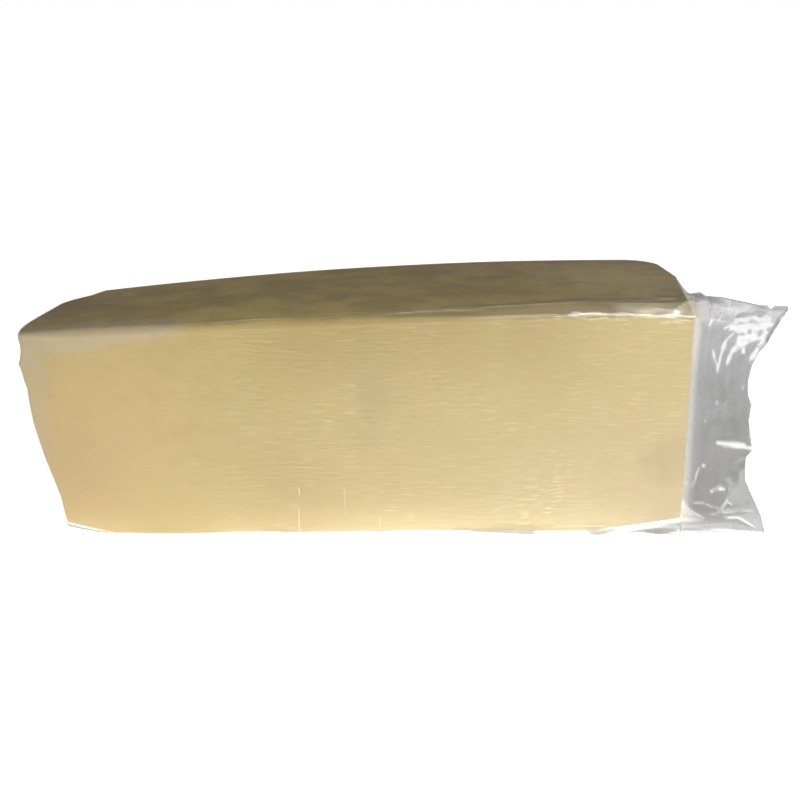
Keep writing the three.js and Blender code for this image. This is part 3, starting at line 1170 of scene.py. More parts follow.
# Strength of the painted reflection on the film over the top edge, along the block.
PAINTED_REFLECTION: Places = (
    (50, 0), (80, 0.07), (98, 0.15), (112, 0.2), (119, 0.45), (126, 0.75), (140, 0.85), (160, 0.9),
)
LEFT_BAND: Places = ((0, 4), (15, 5), (35, 6.5), (71, 7), (84, 10), (92, 10), (101, 5))
TOP_BAND: Places = ((-150, 11), (-134, 9.7), (-124, 6.4), (-110, 5.4), (-101, 4.3), (-92, 3.1), (-75, 0))
SKIRT: Places = (
    (-150, 0.4), (-131, 0.7), (30, 0.9), (45, 1.3), (60, 1.4), (69, 3.0), (79, 3.4), (89, 3.4), (110, 3.6),
    (119, 3.2), (129, 2.2), (139, 1.6), (147, 3.6), (160, 2.4),
)
FOLD_LINE: Places = (
    (155, 112), (160, 113), (163, 113.3), (166, 111.5), (174, 110.9), (180, 109.6),
    (192, 107.2), (206, 106.6),
)
FREE_EDGE: Places = (
    (1, 6.5), (9, 8.7), (17, 12.7), (26, 17.2), (37, 17.7), (40.5, 15), (54, 17), (61, 15.5), (66, 17.5),
    (72, 17.5), (78, 16), (85, 13), (89, 9.5), (95, 6), (100, 3), (104, 0),
)
# Creases along the top edge: ridges of the film with painted highlights along them.
EDGE_STROKES: tuple[Stroke, ...] = (
    Stroke(tuple(place[:2] for place in TENT[2:]), 0.7, 0.45, 0.3, 0.8),
    Stroke(((45, 0.2), (62, 0.3), (76, 0.4), (88, 0.6)), 0.3, 0.4),
    Stroke(((80, 0.2), (93, 0.1), (104, 0.8), (112, 0.4), (122, 0.3), (134, -0.2), (142, -0.5)), 0.9),
    Stroke(((93.5, 0.3), (99.5, 0.5)), 1.0, 0.9, 0.7, 1.8),
    Stroke(((112.5, 0.3), (122, 0.5)), 1.0, 0.8, 0.7, 1.8),
    Stroke(((131.5, 2.8), (141, 2.8)), 1.0, 0.8, 0.4, 1.4),
    Stroke(((133, 0.2), (138, 0.8), (142.5, 3.4), (147, 7.5), (152, 13)), 1.0, 0.9, 0.9, 1.8),
    Stroke(((150, 8), (156, 12.5)), 0.9, 0.6, 0.5, 1.4),
    Stroke(((101, -1.7), (106, -1.6)), 0.45, 0.35),
    Stroke(((112, -1.8), (120, -1.5)), 0.45, 0.35),
    Stroke(((133, -3.2), (140, -3), (150, -1.5)), 0.35, 0.35),
)
# Creases of the tail: ridges of the film with white along them, partly painted glints.
TAIL_STROKES: tuple[Stroke, ...] = (
    Stroke(((163, 94.5), (168.7, 83)), 0.85, 0.5),
    Stroke(((177, 99), (172.3, 95), (170.2, 87), (169.2, 80)), 1.0, 1.2, 0.5, 2.0),
    Stroke(((176, 103.5), (187, 103), (196.5, 101.5)), 1.0, 2.2, 0.6, 3.0),
    Stroke(((174, 100.5), (187, 98), (198, 98)), 1.0, 3.0, 0.8, 4.0),
    Stroke(((180, 95), (190, 93.5), (198, 95)), 1.0, 2.6, 0.6, 3.0),
    Stroke(((177, 92.5), (182, 91.5), (186, 91)), 1.0, 1.6, 0.5, 2.0),
    Stroke(((196, 93), (192.6, 88), (189, 81.5)), 1.0, 1.8, 0.6, 2.2),
    Stroke(((180.5, 94), (177, 88), (175, 82)), 1.0, 1.5, 0.5, 2.0),
    Stroke(((184, 92), (184.5, 86.5)), 1.0, 1.1, 0.4, 1.8),
    Stroke(((169, 101.3), (174, 102.2)), 0.9, 0.6),
    Stroke(((173, 107.6), (175.5, 108.8), (181, 108.3), (189, 106.8)), 1.0, 1.8, 0.3, 1.8),
    Stroke(((176, 106.3), (180, 108)), 0.9, 0.7),
    Stroke(((164, 109.5), (170, 110.2)), 0.7, 0.45),
    Stroke(((161, 107.7), (174.3, 103)), 0.4, 0.4),
    Stroke(((162.5, 112.6), (160.8, 110), (159.6, 105.5)), 1.0, 1.6, 0.6, 2.2),
    Stroke(((164, 106), (168.5, 109.5), (171, 110.6)), 0.9, 0.6, 0.4, 1.2),
    Stroke(((166, 111), (174, 109.6), (181, 107.5)), 0.8, 0.45, 0.3, 1.0),
    Stroke(((172, 46), (179, 44.8), (185.7, 43.2), (192, 40.6)), 1.0, 1.5, 0.9, 2.4),
    Stroke(((161, 24.4), (162.7, 28.7), (162.5, 30.5), (164, 35), (167.8, 35.6)), 0.75, 0.45),
    Stroke(((169.4, 21.1), (173, 21.9), (178.5, 22.5)), 0.85, 0.45),
    Stroke(((177.9, 12.4), (180.2, 16.3), (182.9, 14.1)), 0.6, 0.6),
    Stroke(((161.5, 15.7), (166.8, 16.4), (175.6, 12.5)), 0.5, 0.4),
    Stroke(((160.7, 13.2), (169, 7.7)), 0.5, 0.4),
    Stroke(((178, 7.7), (186.4, 8), (189.2, 6.6), (194, 4)), 0.8, 0.55),
    Stroke(((170, 9.6), (179.6, 10.5), (195, 11.8)), 0.4, 0.35),
    Stroke(((157, 0.8), (179, 1.2), (199, 0.8)), 0.9, 1.5, 0.0),
    Stroke(((184.8, 68.7), (186.5, 70.1)), 0.4, 0.8),
    Stroke(((170.1, 65.4), (170.2, 65.9)), 0.7, 0.5, 0.1),
    Stroke(((164, 58), (164.1, 58.5)), 0.7, 0.5, 0.1),
)
TAIL_HOLES: tuple[Stroke, ...] = (
    Stroke(((177, 105.2), (184, 104.6), (195, 104.2)), 0.9, 1.2),
    Stroke(((184.6, 96.2), (186, 97.2)), 0.85, 1.5),
    Stroke(((191.2, 94.6), (192, 96.4)), 0.85, 1.4),
    Stroke(((184, 89.5), (188, 88.5)), 0.8, 1.2),
)


@dataclass(frozen=True)
class TopEdgeFilm:
    """Film along the top edge of the cut face: a ridge that rises towards the tail, a veil of painted
    reflection, and long creases with painted highlights along them.

    Each long crease has its depth behind the edge, and the stretch of the block over which it begins.
    """

    unevenness: Crumple = Crumple(seed=29, longest=40 * MM, shortest=14 * MM)
    uneven_share: float = 0.07
    knot_height: float = 1.1 * MM
    knot_depth: float = 33 * MM
    knot_width: float = 9 * MM
    knot_start: Fade = Fade(128 * MM, 158 * MM)
    slope_front: Fade = Fade(-1.0 * MM, 0.5 * MM)
    crest_blur: float = 0.8 * MM
    behind_crest: float = 0.2
    slope_grey: float = 0.15
    grey_start: Fade = Fade(-90 * MM, 60 * MM)
    veil_patches: Crumple = Crumple(seed=37, longest=26 * MM, shortest=6 * MM)
    veil_change: float = 0.25
    veil_range: Pair = (0.3, 1.4)
    creases: tuple[tuple[float, Fade], ...] = (
        (3.0 * MM, Fade(-80 * MM, -45 * MM)),
        (6.2 * MM, Fade(-50 * MM, -10 * MM)),
    )
    crease_end: Fade = Fade(70 * MM, 40 * MM)
    crease_drift: float = 0.5 * MM
    crease_bright: float = 0.8
    crease_change: float = 0.4
    crease_range: Pair = (0.3, 1.2)
    crease_lift: float = 0.4 * MM
    crease_width: float = 0.9 * MM
    crease_white: float = 0.4
    line_shift: float = 0.3 * MM
    line_width: float = 0.6 * MM
    crease_warmth: float = 0.6
    stroke_warmth: float = 0.5

    def add_to(self, look: Look, x: Array, depth: Array) -> None:
        """Adds the film.

        Args:
            look: film to add to.
            x: places along the block.
            depth: distance round the edge: behind it on the top, negative down the face.
        """
        crest, lift, reach = (follow(x, TENT, column) for column in (1, 2, 3))
        uneven = 1 + self.uneven_share * self.unevenness.along(x)
        ridge = np.sin(math.pi / 2 * np.clip(depth / crest, 0, 1)) * ease(depth, reach, crest)
        knot = self.knot_height * self.knot_start.at(x) * bell(depth - self.knot_depth, self.knot_width)
        look.add(lift * uneven * ridge + knot)
        beyond = mix(self.behind_crest, 1.0, ease(depth, crest + self.crest_blur, crest - self.crest_blur))
        slope = self.slope_front.at(depth) * beyond * ease(depth, reach, crest)
        look.add(loose=self.slope_grey * slope * self.grey_start.at(x))
        patches = self.veil_patches.at(np.stack([x, depth, depth], axis=-1))
        patches = np.clip(1 + self.veil_change * patches, *self.veil_range)
        # Veil: painted reflection on the film over the front slope of the edge.
        look.add(whitening_and_glint=follow(x, PAINTED_REFLECTION) / MM * slope * patches, warm=1.0)
        self._add_creases(look, x, depth)
        # Strokes: ridges of the film with painted highlights along them.
        for stroke in EDGE_STROKES:
            ridge, white = stroke.press(x, depth)
            look.add(ridge, whitening_and_glint=white, warm=self.stroke_warmth)

    def _add_creases(self, look: Look, x: Array, depth: Array) -> None:
        """Adds the long creases behind the edge, with painted highlights along them."""
        for number, (place, start) in enumerate(self.creases):
            patch = Crumple(seed=31 + number, longest=90 * MM, shortest=25 * MM).along(x)
            drift = Crumple(seed=41 + number, longest=150 * MM, shortest=60 * MM).along(x)
            bright = np.clip(self.crease_bright + self.crease_change * patch, *self.crease_range)
            bright = bright * start.at(x) * self.crease_end.at(x)
            apart = depth - place - self.crease_drift * drift
            line = bell(apart + self.line_shift, self.line_width)
            look.add(
                self.crease_lift * bell(apart, self.crease_width) * bright,
                whitening_and_glint=self.crease_white * line * bright,
                warm=self.crease_warmth,
            )


@dataclass(frozen=True)
class LeftFilm:
    """Loose film along the left edge of the cut face and the left part of its top edge."""

    front: Fade = Fade(12 * MM, 3 * MM)
    ragged: Crumple = Crumple(seed=11, longest=22 * MM, shortest=5 * MM)
    side_ragged: float = 1.5 * MM
    side_blur: Pair = (7 * MM, 4 * MM)
    top_ragged: float = 0.8 * MM
    top_blur: Pair = (3.5 * MM, 2.5 * MM)
    top_end: Fade = Fade(-70 * MM, -85 * MM)
    low_share: float = 0.15
    low_end: Fade = Fade(15 * MM, 65 * MM)
    edge_lift: float = 0.3 * MM
    edge_width: float = 5 * MM
    edge_share: float = 0.3
    edge_change: float = 0.6
    edge_range: Pair = (-0.2, 1.2)
    grey: float = 0.09
    white: Pair = (0.13, 0.23)
    white_rise: Fade = Fade(80 * MM, 94 * MM)
    warmth: float = 0.25

    def add_to(self, look: Look, rings: Array, depth: Array, form: BlockForm) -> None:
        """Adds the film.

        Args:
            look: film to add to.
            rings: points of the film on the block.
            depth: distance round the top edge of the cut face.
            form: form of the film.
        """
        x, y, z = np.moveaxis(rings, -1, 0)
        from_left = x - form.left_end(y, z)
        in_front = self.front.at(y - form.cut_face_y)
        ragged = self.ragged.at(rings)
        width = follow(z, LEFT_BAND) + self.side_ragged * ragged
        beside = ease(from_left, width + self.side_blur[0], width - self.side_blur[1])
        drop = follow(x, TOP_BAND) + self.top_ragged * ragged
        under = ease(-depth, drop + self.top_blur[0], drop - self.top_blur[1]) * self.top_end.at(x)
        band = np.maximum(beside, under) * in_front * mix(self.low_share, 1.0, self.low_end.at(z))
        at_edge = bell(from_left, self.edge_width) * in_front
        uneven = np.clip(self.edge_share + self.edge_change * ragged, *self.edge_range)
        lift = self.edge_lift * at_edge * uneven
        white = mix(*self.white, self.white_rise.at(z))
        look.add(lift, self.grey * band, white * band, warm=self.warmth)


@dataclass(frozen=True)
class FootFilm:
    """Film along the foot of the cut face: a white rim of painted highlight, a web under the lifted ends of
    the cheese, and a skirt.
    """

    front: Fade = Fade(10 * MM, 2 * MM)
    web_top: Fade = Fade(-0.5 * MM, 0.3 * MM)
    web_grey: float = 1.2
    web_white: float = 0.08
    heel_grey: float = 0.35
    heel_start: Fade = Fade(126 * MM, 146 * MM)
    corner_start: Fade = Fade(146 * MM, 158 * MM)
    corner_foot: Fade = Fade(0.4 * MM, 2.4 * MM)
    rim_height: float = 1.0 * MM
    rim_white: float = 0.3
    line_grey: float = 0.9
    line_top: Fade = Fade(1.8 * MM, 0.7 * MM)
    line_start: Fade = Fade(20 * MM, 60 * MM)
    line_end: Fade = Fade(140 * MM, 130 * MM)
    strip_white: float = 0.9
    strip_top: Fade = Fade(-0.5 * MM, 0.2 * MM)
    strip_foot: Fade = Fade(3.0 * MM, 1.6 * MM)
    strip_start: Fade = Fade(104 * MM, 140 * MM)
    skirt_ragged: Crumple = Crumple(seed=19, longest=60 * MM, shortest=14 * MM)
    skirt_change: float = 0.3
    skirt_front: Fade = Fade(4 * MM, 0.5 * MM)
    skirt_height: float = 6 * MM

    def add_to(self, look: Look, rings: Array, cheese_foot: Array, form: BlockForm) -> None:
        """Adds the rim and the web.

        Args:
            look: film to add to.
            rings: points of the film on the block.
            cheese_foot: height of the underside of the cheese at every ring.
            form: form of the film.
        """
        x, y, z = np.moveaxis(rings, -1, 0)
        in_front = self.front.at(y - form.cut_face_y)
        gap = cheese_foot - z
        web = self.web_top.at(gap) * in_front
        rim = bell(z, self.rim_height) * in_front
        grey = self.web_grey + self.heel_grey * self.heel_start.at(x)
        grey = grey * mix(1, self.corner_foot.at(z), self.corner_start.at(x))
        # White rim along the foot: a painted highlight where the foot of the cut face is brightly lit.
        look.add(loose=web * grey, whitening_and_glint=np.maximum(self.rim_white * rim, self.web_white * web))
        line = self.line_top.at(z) * in_front * self.line_start.at(x) * self.line_end.at(x)
        look.add(loose=self.line_grey * line)
        strip = self.strip_top.at(gap) * self.strip_foot.at(gap) * self.strip_start.at(x)
        look.add(whitening_and_glint=self.strip_white * strip * in_front)

    def skirt(self, rings: Array, form: BlockForm) -> Array:
        """How far the film at the foot of the cut face lies out on the floor."""
        x, y, z = np.moveaxis(rings, -1, 0)
        ragged = np.clip(self.skirt_ragged.along(x), -1, 1)
        reach = follow(x, SKIRT) * (1 + self.skirt_change * ragged)
        at_front = self.skirt_front.at(y - form.cut_face_y)
        return reach * at_front * np.clip(1 - z / self.skirt_height, 0, 1) ** 2


@dataclass(frozen=True)
class PaintedSheen:
    """Painted sheen: faint white on the cut face, growing towards its right and its foot, and on the right of
    the top, and a painted highlight along the right edge of the cut face.
    """

    face: float = 0.2
    face_top: float = 0.15
    top: float = 0.24
    top_start: Fade = Fade(60 * MM, 160 * MM)
    edge: Pair = (0.22, 0.5)
    edge_rise: Fade = Fade(70 * MM, 105 * MM)
    edge_foot: Fade = Fade(9 * MM, 14 * MM)
    edge_width: float = 1.9 * MM
    edge_warmth: float = 0.6

    def add_to(self, look: Look, rings: Array, on_face: Array, on_top: Array, form: BlockForm) -> None:
        """Adds the painted sheen.

        Args:
            look: film to add to.
            rings: points of the film on the block.
            on_face: which points of a ring lie on the cut face.
            on_top: which points lie on the top.
            form: form of the film.
        """
        x, y, z = np.moveaxis(rings, -1, 0)
        along = np.clip(x / form.length + 0.5, 0, 1)
        down = np.clip(1 - z / form.crown_height, 0, 1)
        look.add(whitening_and_glint=self.face * along * mix(self.face_top, 1.0, down) * on_face)
        look.add(whitening_and_glint=self.top * self.top_start.at(x) * on_top, warm=1.0)
        edge = mix(*self.edge, self.edge_rise.at(z)) * self.edge_foot.at(z)
        edge = edge * bell(form.right_end(y, z) - x, self.edge_width)
        look.add(whitening_and_glint=edge * on_face, warm=self.edge_warmth)


def between_folds(high: Array) -> Array:
    """1 between the folds of the tail, 0 on them."""
    return np.sqrt(np.clip(1 - (2 * high - 1) ** 6, 0, 1))


@dataclass
class TailPlaces:
    """Places on the front sheet of the tail.

    Args:
        x: places along the block.
        z: heights.
        along: shares of the way to the free edge.
        high: shares of the way from the bottom fold to the top fold.
        edge: last ring of film on the block.
    """

    x: Array
    z: Array
    along: Array
    high: Array
    edge: Array

    @property
    def out(self) -> Array:
        """Distance from the block."""
        return self.x - self.edge[:, 0]

    @property
    def inside(self) -> Array:
        """1 between the folds of the tail, 0 on them."""
        return between_folds(self.high)


@dataclass(frozen=True)
class TailFilm:
    """Waves, crumple, creases and haze of the tail; the white along its creases is partly painted glint, and
    greyer facets are painted between. Pairs of numbers are the two ends of a range.
    """

    wave: float = 1.2 * MM
    waves: float = 1.7
    ripple: float = 0.3 * MM
    ripples: float = 4.3
    facets: Crumple = Crumple(seed=53, longest=24 * MM, shortest=7 * MM, shape=WaveShape.FACETED)
    shards: Crumple = Crumple(seed=59, longest=11 * MM, shortest=4 * MM, shape=WaveShape.FACETED)
    shard_share: float = 0.5
    crumple_place: Pair = (187 * MM, 95 * MM)
    crumple_size: Pair = (15 * MM, 13 * MM)
    crumple_height: Pair = (0.15 * MM, 0.85 * MM)
    crumple_start: Fade = Fade(0.0, 0.3)
    crumple_top: Fade = Fade(1.0, 0.95)
    rim_white: Pair = (0.3, 0.5)
    rim_rise: Fade = Fade(80 * MM, 104 * MM)
    rim_top: Fade = Fade(0.9, 0.86)
    rim_foot: Fade = Fade(0.0, 0.1)
    rim_width: float = 3.6 * MM
    rim_warmth: float = 0.4
    fan_start: Fade = Fade(0.86, 0.95)
    fan_change: float = 0.4
    fan_range: Pair = (0.4, 1.5)
    fan_white: float = 0.5
    fan_end: Fade = Fade(0.34, 0.08)
    fan_clear: Pair = (0.75, 0.3)
    fan_thinning: Fade = Fade(0.3, 0.7)
    knot_x: float = 160 * MM
    knot_width: float = 7 * MM
    knot_start: Fade = Fade(97 * MM, 104 * MM)
    stroke_white: Pair = (0.3, 0.95)
    stroke_ragged: Pair = (0.15 * MM, 1.65 * MM)
    hole_ragged: float = 0.6 * MM
    facet_grey: float = 0.4
    grey_facets: Fade = Fade(-0.3, -0.9)
    ear_hem: Fade = Fade(0.965, 0.985)
    ear_start: Fade = Fade(0.6, 0.8)
    tip_hem: Fade = Fade(0.96, 0.985)
    fold_hem: Fade = Fade(0.99, 0.997)
    hem_start: Fade = Fade(0.15, 0.4)
    hem_foot: Fade = Fade(84 * MM, 92 * MM)
    hem_cover: float = 0.8
    hem_grey: float = 0.3
    grey: Pair = (1.53, 0.85)
    foot_share: float = 0.72
    foot_end: Fade = Fade(4 * MM, 16 * MM)
    clearing: float = 0.98
    root_width: Pair = (5 * MM, 16 * MM)
    root_low: Fade = Fade(16 * MM, 5 * MM)
    root_grey: float = 0.55

    def dress(self, at: TailPlaces, end: Sheet) -> Look:
        """Film at places on the tail's front sheet.

        Args:
            at: the places.
            end: last ring of film on the block.

        Returns:
            The film, with its lift to the back.
        """
        size = len(at.high)
        flat = np.stack([at.x, np.zeros_like(at.x), at.z], axis=-1)
        facets, shards = self.facets.at(flat), self.shards.at(flat)
        crumpled = bell(at.x - self.crumple_place[0], self.crumple_size[0])
        crumpled = crumpled * bell(at.z - self.crumple_place[1], self.crumple_size[1])
        lift = self._waves(at) + self._crumple(at, facets, shards, crumpled)
        beside = bell(at.out, self.rim_width)
        whitening_and_glint, clear = self._fan(at, facets, beside)
        # By the knot at the top of the right edge the white is a brighter painted glint.
        at_knot = bell(at.x - self.knot_x, self.knot_width) * self.knot_start.at(at.z)
        for stroke in TAIL_STROKES:
            ridge, white = stroke.press(at.x, at.z, mix(*self.stroke_ragged, crumpled) * shards)
            lift = lift - ridge * at.inside
            whitening_and_glint = np.maximum(whitening_and_glint, mix(*self.stroke_white, at_knot) * white)
            clear = np.maximum(clear, white)
        for hole in TAIL_HOLES:
            _, grey = hole.press(at.x, at.z, self.hole_ragged * shards)
            whitening_and_glint = whitening_and_glint * (1 - grey)
            clear = clear * (1 - grey)
        # Greyer facets in the crumpled patch, painted darker between the glints.
        clear = clear * (1 - self.facet_grey * self.grey_facets.at(shards) * crumpled)
        root = ease(at.out, mix(*self.root_width, self.root_low.at(at.edge[:, 2])), 0.0)
        loose = mix(self._haze(at, clear), self.root_grey * end.loose[:size], root)
        whitening_and_glint = np.maximum(whitening_and_glint, end.whitening_and_glint[:size] * root)
        return Look(lift, loose, whitening_and_glint, np.maximum(end.warm[:size] * root, self.rim_warmth * beside))

    def _waves(self, at: TailPlaces) -> Array:
        """Slow waves of the sheet, growing towards its free edge."""
        swing = self.wave * np.sin(2 * math.pi * self.waves * at.high)
        swing = swing + self.ripple * np.sin(2 * math.pi * self.ripples * at.high)
        return swing * at.along * np.sin(math.pi * at.high)

    def _crumple(self, at: TailPlaces, facets: Array, shards: Array, crumpled: Array) -> Array:
        """Facets of the sheet, highest where it is crumpled and flat along its top fold."""
        height = (facets + self.shard_share * shards) * mix(*self.crumple_height, crumpled)
        return height * self.crumple_start.at(at.along) * at.inside * self.crumple_top.at(at.high)

    def _fan(self, at: TailPlaces, facets: Array, beside: Array) -> tuple[Array, Array]:
        """Painted highlight and clearing of the film next to the block and in the fan under the top fold."""
        rim = self.rim_top.at(at.high) * self.rim_foot.at(at.high)
        rim = rim * mix(*self.rim_white, self.rim_rise.at(at.z))
        fan = self.fan_start.at(at.high) * np.clip(1 + self.fan_change * facets, *self.fan_range)
        whitening_and_glint = np.maximum(rim * beside, self.fan_white * fan * self.fan_end.at(at.along))
        thin = mix(*self.fan_clear, self.fan_thinning.at(at.along)) * fan
        return whitening_and_glint, np.clip(np.maximum(thin, whitening_and_glint), 0, 1)

    def _haze(self, at: TailPlaces, clear: Array) -> Array:
        """Grey of the film, less where it is clear and more along its hem."""
        hem = np.maximum(self.ear_hem.at(at.high) * self.ear_start.at(at.along), self.tip_hem.at(at.along))
        hem = np.maximum(hem, self.fold_hem.at(at.high))
        hem = hem * self.hem_start.at(at.along) * self.hem_foot.at(at.z)
        clear = clear * (1 - self.hem_cover * hem)
        grey = mix(*self.grey, at.high) * mix(self.foot_share, 1.0, self.foot_end.at(at.z))
        return grey * (1 - self.clearing * clear) * (1 + self.hem_grey * hem)


@dataclass
class FilmBag:
    """The clear bag: film on the block, its gusset behind the right end and its crumpled tail."""

    form: BlockForm
    cheese: BlockForm
    tip_x: float
    outline: Outline = Outline(50, 92, 8, 40, 40, 70, top_fold=0.32)
    corner_steps: int = 13
    body_steps: int = 156
    cap_steps: int = 14
    gusset_steps: int = 24
    tail_steps: int = 100
    top_edge: TopEdgeFilm = TopEdgeFilm()
    left: LeftFilm = LeftFilm()
    foot: FootFilm = FootFilm()
    painted_sheen: PaintedSheen = PaintedSheen()
    tail: TailFilm = TailFilm()
    soft: Crumple = Crumple(seed=17, longest=60 * MM, shortest=18 * MM)
    softness: float = 0.06 * MM
    top_share: float = 0.1
    under_share: float = 0.01
    merge: float = 0.16
    sheet_bow: float = 1.4
    fold_start: Fade = Fade(0.0, 0.1)
    fold_reach: Fade = Fade(0.7, 1.0)
    tip_height: float = 106 * MM
    foot_z: float = 0.6 * MM
    head_y: float = -14 * MM
    foot_y: float = -50 * MM
    thickness: float = 1.0 * MM
    free_edge: float = 0.5 * MM
    flare: float = 3.4
    draw: float = 1.4
    gusset_grey: Pair = (1.2, 1.0)
    hugging_end: Fade = Fade(0.3, 1.0)

    def build(self, material: bpy.types.Material) -> bpy.types.Object:
        """Builds the bag.

        Args:
            material: finish of the film.

        Returns:
            The finished piece, riding on the body.
        """
        block = self._on_block()
        end = Sheet(block.rings[-1], block.loose[-1], block.whitening_and_glint[-1], block.warm[-1])
        whole = self._left_cap(block).joined(block, self._gusset(end), self._tail(end))
        values = {"loose": whole.loose, "whitening_and_glint": np.clip(whole.whitening_and_glint, 0, 1), "warm": whole.warm}
        mesh = loft_mesh("film_bag", whole.rings, Closing.POLE, Closing.SEAM, values)
        mesh.materials.append(material)
        piece = put_piece("film_bag", mesh)
        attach(piece, BODY)
        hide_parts(NODE)
        return piece

    def _left_cap(self, block: Sheet) -> Sheet:
        """Film over the left end face."""
        rings = cap_rings(block.rings[0], self.cap_steps, self.form.left_end)
        return Sheet(rings, *np.zeros((3,) + rings.shape[:2]))

    def _on_block(self) -> Sheet:
        """Film on the block, with its pleats and loose edges."""
        along = self.form.stations(self.corner_steps, self.body_steps)
        rings, normals = self.form.sections(along, self.outline)
        x, y, z = np.moveaxis(rings, -1, 0)
        side = self.outline.shares()[2]
        on_top = np.isin(side, (Side.TOP_FRONT.value, Side.TOP_BACK.value))
        on_face = np.isin(side, (Side.FACE.value, Side.UNDER.value))
        depth = np.where(on_top, y - self.form.cut_face_y, z - self.form.edge_height(x))
        middle = mix(-self.form.length / 2, self.form.length / 2, along[:, None])
        cheese_foot = self.cheese.foot_rise(middle) + self.cheese.inset
        look = Look(*np.zeros((4,) + x.shape))
        self.top_edge.add_to(look, x, depth)
        self.left.add_to(look, rings, depth, self.form)
        self.foot.add_to(look, rings, cheese_foot, self.form)
        self.painted_sheen.add_to(look, rings, on_face, on_top, self.form)
        shown = on_top | on_face
        lift = look.lift * shown + self.softness * self.soft.at(rings)
        skirt = self.foot.skirt(rings, self.form)
        rings = rings + normals * lift[..., None]
        rings[..., 1] -= skirt
        rings[..., 2] = np.maximum(rings[..., 2], 0.0)
        return Sheet(rings, look.loose * shown, look.whitening_and_glint * shown, look.warm * shown)

    def _front(self, end: Sheet, along: Array, fullness: float) -> Sheet:
        """Front sheet of the tail, from the right edge of the cut face to the free edge.

        Args:
            end: last ring of film on the block.
            along: shares of the way to the free edge.
            fullness: 1, or 0 at the free edge itself.

        Returns:
            Film from the top fold to the bottom fold at every share.
        """
        edge = end.rings[:self.outline.half + 1]
        high = self.outline.heights(self.top_share, self.under_share)
        along = along[:, None]
        tip_z = mix(self.foot_z, self.tip_height, high)
        tip_x = self.tip_x - follow(tip_z, FREE_EDGE) - self.free_edge * fullness
        x = mix(edge[:, 0], tip_x, along)
        y = mix(edge[:, 1], mix(self.foot_y, self.head_y, high), 1 - (1 - along) ** self.sheet_bow)
        z = mix(edge[:, 2], tip_z, along)
        fold = follow(x[:, :1], FOLD_LINE) - z[:, :1]
        z = z + fold * self.fold_start.at(along) * self.fold_reach.at(high)
        look = self.tail.dress(TailPlaces(x, z, along, high, edge), end)
        return Sheet(np.stack([x, y + look.lift, z], axis=-1), look.loose, look.whitening_and_glint, look.warm)

    def _behind(self, front: Array, fullness: float) -> Array:
        """Back sheet that lies on a front sheet."""
        high = self.outline.heights(self.top_share, self.under_share)
        shift = np.zeros_like(front)
        shift[..., 1] = self.thickness * fullness * between_folds(high)
        return front + shift

    @staticmethod
    def _closed(front: Array, back: Array) -> Array:
        """Rings, or values on them, from front and back sheets that share their folds."""
        return np.concatenate([front, back[:, -2:0:-1]], axis=1)

    def _flat(self, front: Sheet, fullness: float) -> Sheet:
        """Front sheet and the back sheet that lies on it, as closed rings."""
        values = (front.loose, front.whitening_and_glint, front.warm)
        rings = self._closed(front.rings, self._behind(front.rings, fullness))
        return Sheet(rings, *(self._closed(value, value) for value in values))

    def _tail(self, end: Sheet) -> Sheet:
        """Flat tail from the merging of its two sheets to its closed free edge."""
        along = mix(self.merge, 1.0, np.arange(self.tail_steps + 1) / self.tail_steps)
        flat = self._flat(self._front(end, along, 1.0), 1.0)
        return flat.joined(self._flat(self._front(end, np.ones(1), 0.0), 0.0))

    def _gusset(self, end: Sheet) -> Sheet:
        """Film between the end face and the tail: the front sheet, and film drawn in behind it."""
        half = self.outline.half
        share = np.arange(1, self.gusset_steps) / self.gusset_steps
        front = self._front(end, self.merge * share, 1.0)
        target = self._behind(self._front(end, np.full(1, self.merge), 1.0).rings, 1.0)
        start = end.rings[np.arange(2 * half, half - 1, -1) % (2 * half)]
        share = share[:, None]
        together = 1 - (1 - share) ** self.draw
        y = mix(start[:, 1], target[..., 1], together)
        z = mix(start[:, 2], target[..., 2], together)
        near = start[:, 0] - self.form.right_end(start[:, 1], start[:, 2])
        far = target[..., 0] - self.form.right_end(target[..., 1], target[..., 2])
        x = self.form.right_end(y, z) + mix(near, far, share**self.flare)
        back = np.stack([x, y, z], axis=-1)
        hugging = np.ones_like(front.whitening_and_glint) * self.hugging_end.at(share)
        return Sheet(
            self._closed(front.rings, back),
            self._closed(mix(*self.gusset_grey, hugging) * front.loose, hugging * front.loose),
            self._closed(front.whitening_and_glint, front.whitening_and_glint * share),
            self._closed(front.warm, front.warm * share),
        )


@dataclass(frozen=True)
class Lamp:
    """A soft light that faces the block.

    Args:
        name: name of the lamp.
        place: where it stands.
        size: its width and height.
        power: its power in watts.
        lights: whether it lights matt surfaces, or only shines in glossy ones.
    """

    name: str
    place: Triple
    size: Pair
    power: float
    lights: bool = True


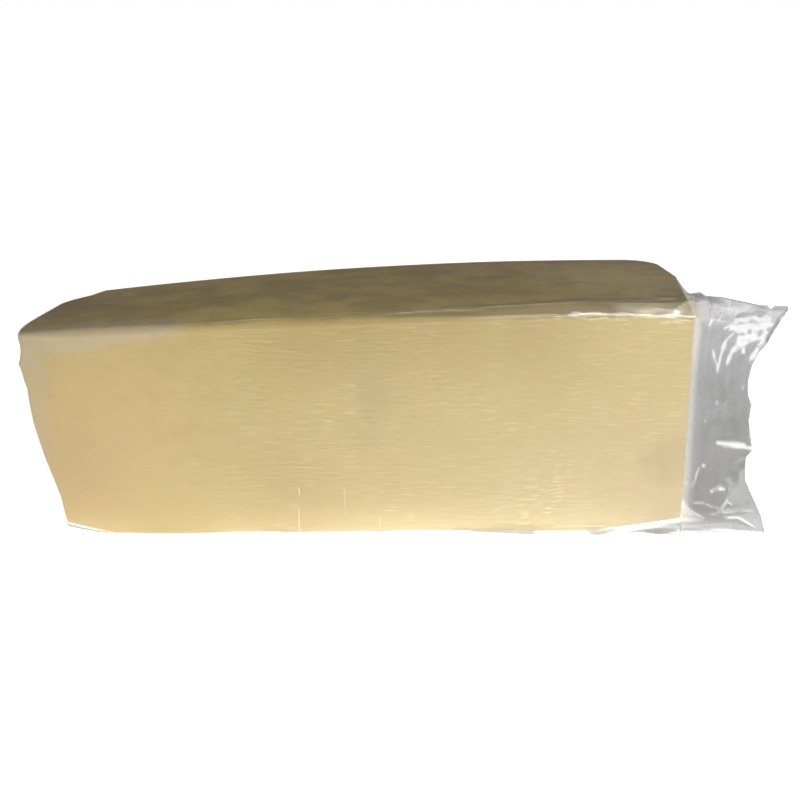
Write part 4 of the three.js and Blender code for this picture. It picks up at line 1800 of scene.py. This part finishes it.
@dataclass
class Studio:
    """Camera, soft light and white floor."""

    eye: Triple = (19 * MM, -380 * MM, 220.1 * MM)
    look_down: float = 24.0
    lens: float = 35.55
    sensor: float = 36.0
    clip: Pair = (0.01, 100.0)
    floor_size: float = 30.0
    lamps: tuple[Lamp, ...] = (
        Lamp("key", (0.45, -0.75, 0.05), (0.45, 0.45), 3.3),
        Lamp("strip", (0.4, -0.75, 0.95), (1.0, 0.08), 1.6),
        Lamp("glint", (0.51, -0.71, 0.33), (0.12, 0.12), 0.6),
        Lamp("shine", (0.58, -0.55, 1.0), (0.7, 0.25), 13.0, lights=False),
    )
    aim: Triple = (0.02, 0.0, 0.055)
    backdrop: float = 1.0
    fill: float = 0.27
    sheen: float = 0.1

    def build(self, floor_material: bpy.types.Material) -> None:
        """Sets up the scene round the object."""
        self._camera()
        self._floor(floor_material)
        for lamp in self.lamps:
            self._light(lamp)
        self._world()
        bpy.context.scene.view_settings.view_transform = "Standard"

    def _camera(self) -> None:
        """Camera at the height and angle of the photograph."""
        data = bpy.data.cameras.new("camera")
        data.lens = self.lens
        data.sensor_width = self.sensor
        data.clip_start, data.clip_end = self.clip
        camera = put_piece("camera", data)
        camera.location = self.eye
        camera.rotation_euler = (math.radians(90 - self.look_down), 0, 0)
        bpy.context.scene.camera = camera

    def _floor(self, material: bpy.types.Material) -> None:
        """Plain floor at the level of the underside."""
        reach = self.floor_size / 2
        mesh = bpy.data.meshes.new("floor")
        corners = [(-reach, -reach, 0), (reach, -reach, 0), (reach, reach, 0), (-reach, reach, 0)]
        mesh.from_pydata(corners, [], [(0, 1, 2, 3)])
        mesh.materials.append(material)
        put_piece("floor", mesh)

    def _light(self, lamp: Lamp) -> None:
        """Puts up a lamp that faces the block."""
        data = bpy.data.lights.new(lamp.name, "AREA")
        data.shape = "RECTANGLE"
        data.size, data.size_y = lamp.size
        data.energy = lamp.power
        piece = put_piece(lamp.name, data)
        piece.location = lamp.place
        away = Vector(lamp.place) - Vector(self.aim)
        piece.rotation_euler = away.to_track_quat("Z", "Y").to_euler()
        piece.visible_diffuse = lamp.lights

    def _world(self) -> None:
        """White behind the object, dim as a light and dimmer in the film's sheen."""
        world = bpy.data.worlds.new("studio")
        bpy.context.scene.world = world
        world.use_nodes = True
        tree = Tree(world.node_tree)
        path = tree.add("ShaderNodeLightPath").outputs
        light = tree.choose(path["Is Glossy Ray"], self.fill, self.sheen)
        light = tree.choose(path["Is Camera Ray"], light, self.backdrop)
        shell = tree.add("ShaderNodeBackground", {"Color": (1, 1, 1, 1), "Strength": light})
        tree.add("ShaderNodeOutputWorld", {"Surface": shell.outputs[0]})


def plain_box(box: object) -> list[list[float]]:
    """A box as plain lists of numbers."""
    return [[float(value) for value in corner] for corner in box]


def main() -> None:
    """Builds the studio, the cheese and the film."""
    logging.basicConfig(level=logging.INFO, format="%(name)s: %(message)s")
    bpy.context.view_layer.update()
    _, high = plain_box(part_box(NODE))
    effects = Effects()
    Studio().build(FloorFinish().material(effects))
    film_form = BlockForm(crown_height=high[2], toe_rise=2.6 * MM)
    cheese_form = BlockForm(
        crown_height=high[2],
        inset=0.15 * MM,
        end_radius=0.9 * MM,
        foot_edge=1.2 * MM,
        heel_rise=9.6 * MM,
        toe_start=-126 * MM,
        toe_rise=4.6 * MM,
    )
    cheese = CheeseBlock(cheese_form).build(WireMarks(), CheeseFinish().material(effects))
    film = FilmBag(film_form, cheese_form, tip_x=high[0]).build(FilmFinish().material(effects))
    for piece in (cheese, film):
        LOG.info("%s: %d points, %d faces", piece.name, len(piece.data.vertices), len(piece.data.polygons))


if __name__ == "__main__":
    main()
